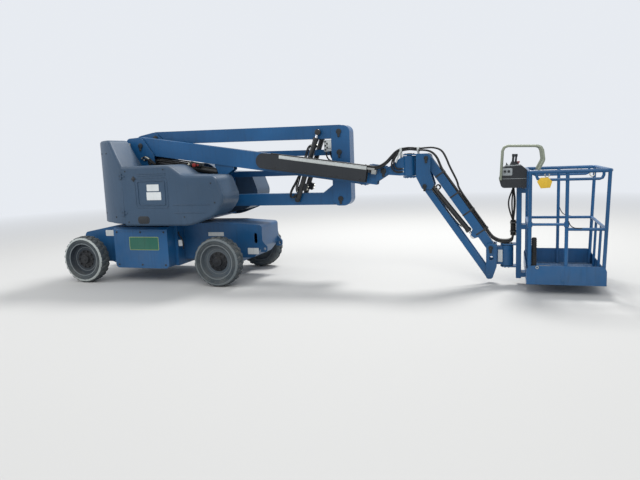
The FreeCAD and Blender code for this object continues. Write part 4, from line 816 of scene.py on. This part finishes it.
s0, s1 = BOOM_MOUTH - 0.085, BOOM_MOUTH + 0.001
finished("boom_collar", "boom", blue, [
    bar(on_boom, s0, s1, HALF_H - 0.001, HALF_H + 0.004, BOOM_Y - 0.074, BOOM_Y + 0.079, 0.0015),
    bar(on_boom, s0, s1, -HALF_H - 0.004, -HALF_H + 0.001, BOOM_Y - 0.074, BOOM_Y + 0.079, 0.0015),
    bar(on_boom, s0, s1, -HALF_H - 0.004, HALF_H + 0.004, BOOM_Y + 0.074, BOOM_Y + 0.079, 0.0015)])
above = (math.sin(BOOM_SLOPE), 0, math.cos(BOOM_SLOPE))
parts = []
for s in (BOOM_MOUTH - 0.065, BOOM_MOUTH - 0.022):
    for y in (BOOM_Y - 0.045, BOOM_Y + 0.045):
        parts.append(bolt(on_boom(s, y, HALF_H + 0.004), above, 0.8))
        parts.append(bolt(on_boom(s, y, -HALF_H - 0.004), tuple(-value for value in above), 0.8))
    for rise in (-0.07, 0.0, 0.07):
        parts.append(bolt(on_boom(s, BOOM_Y + 0.079, rise), (0, 1, 0), 0.8))
for s in (1.95, 2.35, 2.75, 3.03):
    parts.append(bolt(on_boom(s, -0.257, -0.045), (0, -1, 0), 0.7))
finished("boom_bolts", "boom", steel, parts)
TRAY_Y = -0.211
TRAY_OUT_Y = -0.2600
finished("tray_lip", "boom", black, [
    bar(on_boom, 1.82, BOOM_MOUTH, -0.062, -0.054, TRAY_OUT_Y, -0.2565, 0.001)])
# The pale strip along the tray's top edge is a painted highlight of sun on its flange.
finished("tray_lit_edge", "boom", valve_pale, [
    bar(on_boom, 1.99, BOOM_MOUTH - 0.004, 0.070, 0.106, TRAY_OUT_Y, -0.2565, 0.001),
    bar(on_boom, 1.99, BOOM_MOUTH - 0.004, 0.103, 0.112, TRAY_OUT_Y, -0.2480, 0.001)])
HOSE_R = 0.0105
SIX = ((-0.022, -0.010), (0.0, -0.010), (0.022, -0.010), (-0.022, 0.011), (0.0, 0.011), (0.022, 0.011))


def bundle(points, offsets, radius=HOSE_R):
    """Several hoses side by side: each follows the points, moved across by its offset."""
    return [hose([(x, y + dy, z + dz) for x, y, z in points], radius) for dy, dz in offsets]


finished("tray_hoses", "boom", hose_black, bundle(
    [on_boom(s, TRAY_Y, rise) for s, rise in (
        (1.80, -0.035), (1.86, -0.057), (2.4, -0.058), (3.0, -0.058), (3.085, -0.056))],
    ((-0.026, 0.0), (-0.002, 0.0), (0.022, 0.0))))
finished("hose_channel", "extension", pale_metal, [
    bar(on_boom, 1.86, 3.185, 0.076, 0.082, TRAY_Y - 0.034, TRAY_Y + 0.034, 0.001),
    bar(on_boom, 1.86, 3.185, 0.080, 0.100, TRAY_Y - 0.034, TRAY_Y - 0.029, 0.001),
    bar(on_boom, 1.86, 3.185, 0.080, 0.100, TRAY_Y + 0.029, TRAY_Y + 0.034, 0.001),
    bar(on_boom, 3.150, 3.205, 0.030, 0.082, TRAY_Y - 0.034, TRAY_Y + 0.046, 0.003)])
finished("channel_hoses", "extension", hose_black, bundle(
    [on_boom(s, TRAY_Y, 0.1035) for s in (1.875, 2.2, 2.6, 3.0, 3.12)], SIX))
finished("chain_links", "extension", black, [
    bar(on_boom, s, s + 0.026, 0.040, 0.076, TRAY_Y - 0.030, TRAY_Y + 0.030, 0.004)
    for s in (1.88 + 0.034 * i for i in range(38))])

CYL_EYE = (1.780, 1.360)
BOOM_CYL = (pin("primary_cylinder_turn"), CYL_EYE)
finished("boom_rod_eye", "primary_rod", cylinder_black, [
    across(*CYL_EYE, BOOM_Y - 0.040, BOOM_Y + 0.040, 0.0355, 32, 0.003)])
finished("boom_cylinder_valve", "primary_barrel", steel, [
    plate([(p[0], p[2]) for p in (beside(*BOOM_CYL, s, off, 0) for s, off in (
        (0.56, -0.080), (0.72, -0.080), (0.72, -0.028), (0.56, -0.028)))],
          BOOM_Y - 0.072, BOOM_Y + 0.030, 0.004)])
valve_at = beside(*BOOM_CYL, 0.64, -0.050, BOOM_Y - 0.072)
finished("boom_valve_knob", "primary_barrel", valve_red, [
    drum(valve_at, (valve_at[0], valve_at[1] - 0.030, valve_at[2]), 0.026, 12, 0.004),
    drum(beside(*BOOM_CYL, 0.69, -0.055, BOOM_Y - 0.070),
         beside(*BOOM_CYL, 0.69, -0.055, BOOM_Y - 0.088), 0.012, 20, 0.002)])
cylinder_lines = []
BOOM_LINES = ((-0.062, -0.040), (-0.046, -0.058), (0.010, -0.072))
for shift, off in BOOM_LINES:
    cylinder_lines.append(hose([beside(*BOOM_CYL, s, off * k, BOOM_Y + shift) for s, k in (
        (0.07, 0.75), (0.12, 0.95), (0.30, 1.0), (0.48, 1.0), (0.57, 1.0))], LINE_R))
finished("boom_cylinder_hoses", "primary_barrel", hose_black, cylinder_lines)
finished("boom_cylinder_fittings", "primary_barrel", zinc, [
    drum(beside(*BOOM_CYL, 0.535, off, BOOM_Y + shift),
         beside(*BOOM_CYL, 0.570, off, BOOM_Y + shift), 0.013, 6, 0.001)
    for shift, off in BOOM_LINES])
root_lines = [
    [(0.655, -0.204, 1.585), (0.700, -0.212, 1.612), (0.760, -0.212, 1.590), (0.810, -0.208, 1.545),
     (0.850, -0.196, 1.500)],
    [(0.690, -0.204, 1.560), (0.730, -0.216, 1.575), (0.780, -0.216, 1.548), (0.815, -0.206, 1.512),
     (0.840, -0.194, 1.482)]]
finished("root_hoses", "upper_pivot", hose_black, [hose(points, LINE_R) for points in root_lines])
finished("root_fittings", "upper_pivot", zinc, [
    across(x, z, -0.188, -0.215, 0.013, 6, 0.001) for x, z in ((0.655, 1.585), (0.690, 1.560))] + [
    hose([(0.715, -0.218, 1.600), (0.745, -0.219, 1.592), (0.772, -0.218, 1.572)], 0.011)])


# Head of the boom: black hoses from the channel over the bracket in an arch, down the jib's upper side, round
# the foot and up to the mast. A stretch rides on its own body; the pieces across the joints ride on none.
dress(blue, "level_bracket", "jib_head", "jib_tube", "jib_link", "jib_foot")
JIB_TOP = pin("jib_raise")
JIB_FOOT = pin("jib_foot_turn")


def on_jib(s, y, rise):
    """A place on the jib's line: s from its top pin, rise to its upper side."""
    return beside(JIB_TOP, JIB_FOOT, s, -rise, y)


FOUR = ((-0.033, 0.0), (-0.011, 0.0), (0.011, 0.0), (0.033, 0.0))
PAIR = ((-0.014, 0.0), (0.012, 0.0))
LOW = 0.062
HIGH = 0.086
SLEEVE_X = 5.340


def boom_plane(*places):
    """Places in the boom's upright plane, from their X and Z."""
    return [(x, BOOM_Y, z) for x, z in places]


# Columns: piece, bodies at its two ends, where it starts and stops bending, hoses across, its points.
for name, bodies, bends, offsets, points in (
        ("head_hoses_back", ("extension", "level_bracket"), ((3.82, -0.2, 1.36), (4.05, -0.1, 1.55)), SIX,
         [on_boom(3.12, TRAY_Y, 0.1035), (3.80, TRAY_Y, 1.366), (3.87, TRAY_Y, 1.378), (3.94, -0.195, 1.425),
          (3.99, -0.15, 1.488), (4.04, -0.10, 1.545), (4.09, BOOM_Y, 1.562)]),
        ("head_hoses_over", ("level_bracket", "jib_head"), boom_plane((4.12, 1.56), (4.25, 1.56)), SIX,
         boom_plane((4.09, 1.562), (4.15, 1.572), (4.22, 1.572), (4.29, 1.560))),
        ("head_hoses_down", ("jib_head", "jib_tube"), boom_plane((4.33, 1.55), (4.56, 1.38)), FOUR,
         boom_plane((4.29, 1.552), (4.36, 1.552), (4.44, 1.530), (4.50, 1.468))
         + [on_jib(0.14, BOOM_Y, LOW + 0.014), on_jib(0.20, BOOM_Y, LOW), on_jib(0.26, BOOM_Y, LOW)]),
        ("head_cables_down", ("jib_head", "jib_tube"), boom_plane((4.33, 1.56), (4.60, 1.45)), PAIR,
         boom_plane((4.29, 1.570), (4.36, 1.574), (4.46, 1.578), (4.555, 1.545), (4.605, 1.455),
                    (4.64, 1.36), (4.690, 1.260), (4.735, 1.165)) + [on_jib(0.47, BOOM_Y, 0.098)]),
        ("foot_hoses_back", ("jib_tube", "jib_foot"), boom_plane((5.06, 0.62), (5.17, 0.51)), SIX,
         [on_jib(1.05, BOOM_Y, 0.073)] + boom_plane((5.085, 0.578), (5.130, 0.522), (5.19, 0.500))),
        ("foot_hoses_front", ("jib_foot", "platform"), boom_plane((5.21, 0.5), (5.32, 0.55)), SIX,
         boom_plane((5.19, 0.500), (5.235, 0.494), (5.285, 0.497), (5.325, 0.510), (5.338, 0.545),
                    (SLEEVE_X, 0.60)))):
    piece = finished(name, None, hose_black, bundle(points, offsets))
    start, end = (tuple(at(*place)) for place in bends)
    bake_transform(piece)
finished("jib_hoses", "jib_tube", hose_black,
         bundle([on_jib(s, BOOM_Y, LOW) for s in (0.26, 0.50, 0.75, 0.95, 1.05)], FOUR)
         + bundle([on_jib(0.47, BOOM_Y, 0.098)] + [on_jib(s, BOOM_Y, HIGH) for s in (0.53, 0.75, 0.95, 1.05)],
                  PAIR))

# Clamps hold the hoses: a saddle on a foot on the bracket and the head, and saddles strapped to the tube.
CLAMP_W = 0.082
for name, body, x, z, foot_z in (("clamp_bracket", "level_bracket", 4.09, 1.563, 1.465),
                                 ("clamp_head", "jib_head", 4.29, 1.561, 1.505)):
    finished(name, body, valve_pale, [
        block((x - 0.014, BOOM_Y - CLAMP_W / 2, z - 0.026), (x + 0.014, BOOM_Y + CLAMP_W / 2, z + 0.028),
              0.005),
        block((x - 0.011, BOOM_Y - 0.016, foot_z), (x + 0.011, BOOM_Y + 0.016, z - 0.02), 0.002)])

parts = []
for s, top in ((0.24, 0.078), (0.53, 0.101), (0.78, 0.101), (1.045, 0.101)):
    parts += [bar(on_jib, s - 0.015, s + 0.015, 0.049, 0.077, BOOM_Y - 0.047, BOOM_Y + 0.047, 0.004),
              bar(on_jib, s - 0.013, s + 0.013, 0.070, top, BOOM_Y - 0.029, BOOM_Y + 0.027, 0.004),
              bar(on_jib, s - 0.009, s + 0.009, -0.052, 0.052, BOOM_Y - 0.0475, BOOM_Y + 0.0475, 0.002)]
finished("jib_clamps", "jib_tube", cylinder_black, parts)

# Two hoses drop from the bracket's clamp to the drum, behind a slanted stay.
slew_drops = [[(4.075, -0.125, 1.545), (4.020, -0.158, 1.490), (3.985, -0.178, 1.410), (4.000, -0.178, 1.335),
               (4.055, -0.165, 1.300), (4.110, -0.135, 1.310)],
              [(4.085, -0.105, 1.548), (4.040, -0.150, 1.500), (4.012, -0.172, 1.430), (4.022, -0.172, 1.365),
               (4.065, -0.160, 1.338), (4.112, -0.132, 1.345)]]
finished("slew_hoses", "level_bracket", hose_black, [hose(points, 0.010) for points in slew_drops])
finished("slew_stay", "level_bracket", valve_pale, [
    plate([(4.030, 1.420), (4.046, 1.412), (4.100, 1.538), (4.082, 1.548)], -0.1680, -0.1640, 0.001),
    drum((4.112, -0.138, 1.310), (4.130, -0.128, 1.312), 0.013, 6, 0.001),
    drum((4.114, -0.135, 1.345), (4.132, -0.125, 1.346), 0.013, 6, 0.001)])

# Jib: its cylinder's hoses with bright fittings, the loop at the cylinder's foot, welds of the foot and head,
# bolts under the rotators and blank labels at the foot.
JIB_EYE = (4.904, 0.552)
JIB_CYL = (pin("jib_cylinder_turn"), JIB_EYE)
long_run = ((0.075, 0.028), (0.10, 0.046), (0.30, 0.046), (0.50, 0.046), (0.575, 0.044), (0.595, 0.028))
foot_loop = ((0.060, -0.026, 0.012), (0.050, -0.044, 0.018), (0.050, -0.062, 0.024), (0.075, -0.073, 0.025),
             (0.098, -0.062, 0.024), (0.100, -0.044, 0.018), (0.098, -0.026, 0.012))
finished("jib_cylinder_hoses", "jib_barrel", hose_black, [
    hose([beside(*JIB_CYL, s, off, BOOM_Y) for s, off in long_run], 0.007)] + [
    hose([beside(*JIB_CYL, s, off, BOOM_Y + way * out) for s, off, out in foot_loop], 0.007)
    for way in (-1, 1)])
finished("jib_cylinder_fittings", "jib_barrel", zinc, [
    drum(beside(*JIB_CYL, s, off0, y), beside(*JIB_CYL, s, off1, y), 0.011, 6, 0.001)
    for s, off0, off1, y in [(0.075, 0.022, 0.038, BOOM_Y), (0.595, 0.022, 0.042, BOOM_Y)] + [
        (s, -0.020, -0.034, BOOM_Y + dy) for dy in (-0.012, 0.012) for s in (0.060, 0.098)]])
finished("jib_rod_eye", "jib_rod", cylinder_black, [
    across(*JIB_EYE, BOOM_Y - 0.0235, BOOM_Y + 0.0235, 0.0315, 28, 0.003)])
finished("bracket_welds", "level_bracket", blue, [
    hose([(4.128, BOOM_Y + way * 0.0505, z) for z in (1.270, 1.37, 1.480)], 0.005) for way in (-1, 1)])
head_parts = []
for way in (-1, 1):
    head_parts.append(hose([(4.276, BOOM_Y + way * 0.0875, z) for z in (1.245, 1.37, 1.50)], 0.0045))
    head_parts.append(hose([(4.2595, BOOM_Y + way * 0.070, z) for z in (1.262, 1.37, 1.484)], 0.004))
finished("head_welds", "jib_head", blue, head_parts)
finished("foot_welds", "jib_foot", blue, [
    hose([(5.166, BOOM_Y + way * 0.0505, z) for z in (0.240, 0.34, 0.436)], 0.005) for way in (-1, 1)])
for name, body, x, low_z, high_z in (("head_rotator_bolts", "jib_head", 4.185, 1.240, 1.510),
                                     ("foot_rotator_bolts", "platform", 5.275, 0.205, 0.470)):
    parts = []
    for i in range(8):
        a = math.radians(45 * i + 22.5)
        spot = (x + 0.052 * math.cos(a), BOOM_Y + 0.052 * math.sin(a))
        parts += [bolt((*spot, low_z), (0, 0, -1), 0.8), bolt((*spot, high_z), (0, 0, 1), 0.8)]
    parts.append(upright(x, BOOM_Y, high_z - 0.001, high_z + 0.010, 0.024, 28, 0.002))
    finished(name, body, steel, parts)
finished("foot_labels", "jib_foot", label_white, [
    plate(rounded(5.178, 5.228, 0.262, 0.402, 0.005), BOOM_Y - 0.0515, BOOM_Y - 0.0495)])


# Mast: two blue posts with the ribbed black sleeve between them, which takes the hoses up, and the thinner
# hoses that loop above it to the control box.
dress(blue, "platform_mast")
sleeve_black = finish("sleeve_black", (19, 21, 23), (52, 52, 54), 0.75, dust=0.35, grain=700.0, bump=0.5)


def sleeve_ribs(x, y, foot, step, count, height, radius, vertices):
    """The raised rings of a ribbed sleeve, one above the other."""
    return [upright(x, y, z, z + height, radius, vertices, 0.002)
            for z in (foot + step * i for i in range(count))]


finished("mast_sleeve", "platform", sleeve_black, [
    hose([(SLEEVE_X, BOOM_Y, z) for z in (0.560, 0.64, 0.735)], 0.0275),
    *sleeve_ribs(SLEEVE_X, BOOM_Y, 0.564, 0.0128, 13, 0.007, 0.031, 24)])
up_hoses = []
for bulge, dy in ((-0.060, -0.022), (-0.022, 0.0), (0.004, 0.020), (0.012, -0.008)):
    y = BOOM_Y + dy
    up_hoses.append(hose([(SLEEVE_X, BOOM_Y + dy * 0.5, 0.72), (5.342 + bulge * 0.5, y, 0.80),
                          (5.346 + bulge, y, 0.90), (5.346 + bulge * 0.9, y, 0.98),
                          (5.342 + bulge * 0.3, y, 1.06), (5.342, y, 1.118)], 0.0085))
finished("mast_hoses", "platform", hose_black, up_hoses)
finished("mast_straps", "platform", cylinder_black, [
    block((5.305, BOOM_Y - 0.060, z), (5.376, BOOM_Y + 0.060, z + 0.014), 0.004)
    for z in (0.600, 0.700)])


# Platform: bent blue tubes over a floor of expanded metal, with toe boards, a foot switch, a blank tag, thin
# lanyards that hold the entry pins, anchor rings and a black sleeve at the rear post.
dress(blue, "platform_rails", "platform_floor", "entry_bar")
tag_yellow = finish("blank_tag", (212, 174, 52), (180, 150, 60), 0.5, dust=0.3, bump=0.05)
FLOOR_TOP = 0.135
MESH_X = (5.50, 6.22)
MESH_HALF = 0.56
STRAND = (0.004, 0.003)
STEP = 0.062
parts = []
for i in range(-12, 30):
    for way in (-1, 1):
        start = way * (i * STEP - MESH_HALF)
        reach = MESH_X[1] - MESH_X[0]
        t0, t1 = sorted(((-MESH_HALF - start) / (way * reach), (MESH_HALF - start) / (way * reach)))
        t0, t1 = max(t0, 0), min(t1, 1)
        if t1 - t0 < 0.02:
            continue
        ends = [at(MESH_X[0] + reach * t, start + way * reach * t, FLOOR_TOP + 0.001) for t in (t0, t1)]
        run = ends[1] - ends[0]
        bpy.ops.mesh.primitive_cube_add(size=1, location=(ends[0] + ends[1]) / 2)
        strand = bpy.context.object
        strand.scale = (run.length, *STRAND)
        strand.rotation_euler = (0, 0, math.atan2(run.y, run.x))
        parts.append(settle(strand))
finished("floor_mesh", "platform", blue, parts)
finished("platform_tag", "platform", tag_yellow, [
    plate([(5.563, 1.185), (5.60, 1.225), (5.67, 1.225), (5.709, 1.185), (5.69, 1.12), (5.60, 1.115)],
          -0.590, -0.587, 0.001)])
finished("foot_switch", "platform", black, [
    block((5.60, -0.10, FLOOR_TOP), (5.76, 0.06, FLOOR_TOP + 0.045), 0.008),
    block((5.615, -0.085, FLOOR_TOP + 0.043), (5.745, 0.045, FLOOR_TOP + 0.062), 0.006)])
TOE_Y = 0.583
parts = []
for side in (-1, 1):
    parts.append(side_block(side, (5.806, TOE_Y - 0.001, 0.125), (5.840, TOE_Y + 0.003, 0.300), 0.0015))
    parts += side_bolts(side, TOE_Y + 0.003, ((5.823, 0.16), (5.823, 0.265)), 0.6)
finished("toe_joints", "platform", blue, parts)
RING_Y = 0.566
RING_Z = 1.248
rings, cables = [], []
for x, y, z, size in ((5.576, -0.590, 0.293, 0.013), (5.66, -RING_Y, RING_Z, 0.022),
                      (6.08, -RING_Y, RING_Z, 0.022), (5.66, RING_Y, RING_Z, 0.022),
                      (6.08, RING_Y, RING_Z, 0.022)):
    rings.append(ring((x, y, z), size, size * 0.22, 28, 10))
finished("anchor_rings", "platform", zinc, rings)
for y, rise in ((-0.570, 0.0), (0.570, 0.035)):
    cables.append(hose([(5.872, y, 0.775 + rise), (5.880, y, 0.745 + rise), (5.905, y, 0.715 + rise * 0.6),
                        (5.945, y, 0.700 + rise * 0.3), (6.000, y, 0.702)], 0.005))
finished("rail_lanyards", "platform", hose_black, cables)
POST = (5.546, -0.535)
finished("post_sleeve", "platform", sleeve_black, [
    upright(*POST, 0.150, 0.600, 0.024, 24, 0.006), *sleeve_ribs(*POST, 0.165, 0.0215, 20, 0.011, 0.027, 20),
    *(block((5.496, -0.552, z), (5.552, -0.530, z + 0.016), 0.003) for z in (0.30, 0.50))])


# Control box: black moulded housing with a pale switch panel, levers with rubber sleeves, two knobs, a row of
# toggle switches and the red stop button, under a pair of pale guard hoops.
BOX_TOP = 1.350
BOX_NEAR_Y = -0.345
dress(black, "control_box")
hoop_paint = finish("hoop_metal", (136, 142, 126), (164, 166, 156), 0.38, metallic=0.3, dust=0.3)
panel_grey = finish("panel_grey", (150, 156, 158), (110, 112, 112), 0.45, dust=0.3, grain=900.0)
dress(hoop_paint, "control_guard")
finished("control_panel", "platform", panel_grey, [
    plate(rounded(5.222, 5.325, 1.243, 1.322, 0.012), BOX_NEAR_Y - 0.002, BOX_NEAR_Y + 0.001, 0.0005),
    block((5.250, -0.325, BOX_TOP - 0.010), (5.405, 0.085, BOX_TOP + 0.0015), 0.001)])
finished("control_seam", "platform", panel_grey, [
    block((5.205, BOX_NEAR_Y - 0.0015, 1.206), (5.466, BOX_NEAR_Y + 0.001, 1.211), 0.0005),
    block((5.205, 0.104, 1.206), (5.466, 0.1065, 1.211), 0.0005)])
parts = []
for x, y in ((5.33, -0.24), (5.33, 0.0), (5.36, -0.12)):
    parts += [upright(x, y, BOX_TOP + low, BOX_TOP + high, radius, 28, width) for low, high, radius, width in
              ((-0.012, 0.012, 0.030, 0.004), (0.008, 0.022, 0.025, 0.004), (0.020, 0.036, 0.019, 0.005))]
    parts += [drum((x, y, BOX_TOP + 0.03), (x + 0.006, y, BOX_TOP + 0.100), 0.011, 24, 0.003),
              drum((x + 0.005, y, BOX_TOP + 0.088), (x + 0.007, y, BOX_TOP + 0.118), 0.015, 24, 0.005)]
for y in (-0.29, -0.23, -0.17, -0.11, -0.05, 0.01, 0.06):
    parts += [upright(5.268, y, BOX_TOP - 0.015, BOX_TOP + 0.006, 0.010, 16, 0.001),
              drum((5.268, y, BOX_TOP + 0.004), (5.262, y, BOX_TOP + 0.022), 0.004, 12, 0.001)]
parts += [across(x, 1.288, BOX_NEAR_Y - 0.001, BOX_NEAR_Y - 0.018, 0.013, 20, 0.003) for x in (5.250, 5.288)]
finished("control_levers", "platform", black, parts)
finished("emergency_stop", "platform", valve_red, [
    upright(5.385, 0.05, BOX_TOP - 0.01, BOX_TOP + 0.02, 0.012, 24, 0.001),
    upright(5.385, 0.05, BOX_TOP + 0.018, BOX_TOP + 0.034, 0.022, 28, 0.004)])

bpy.data.objects.remove(bolt_shape)
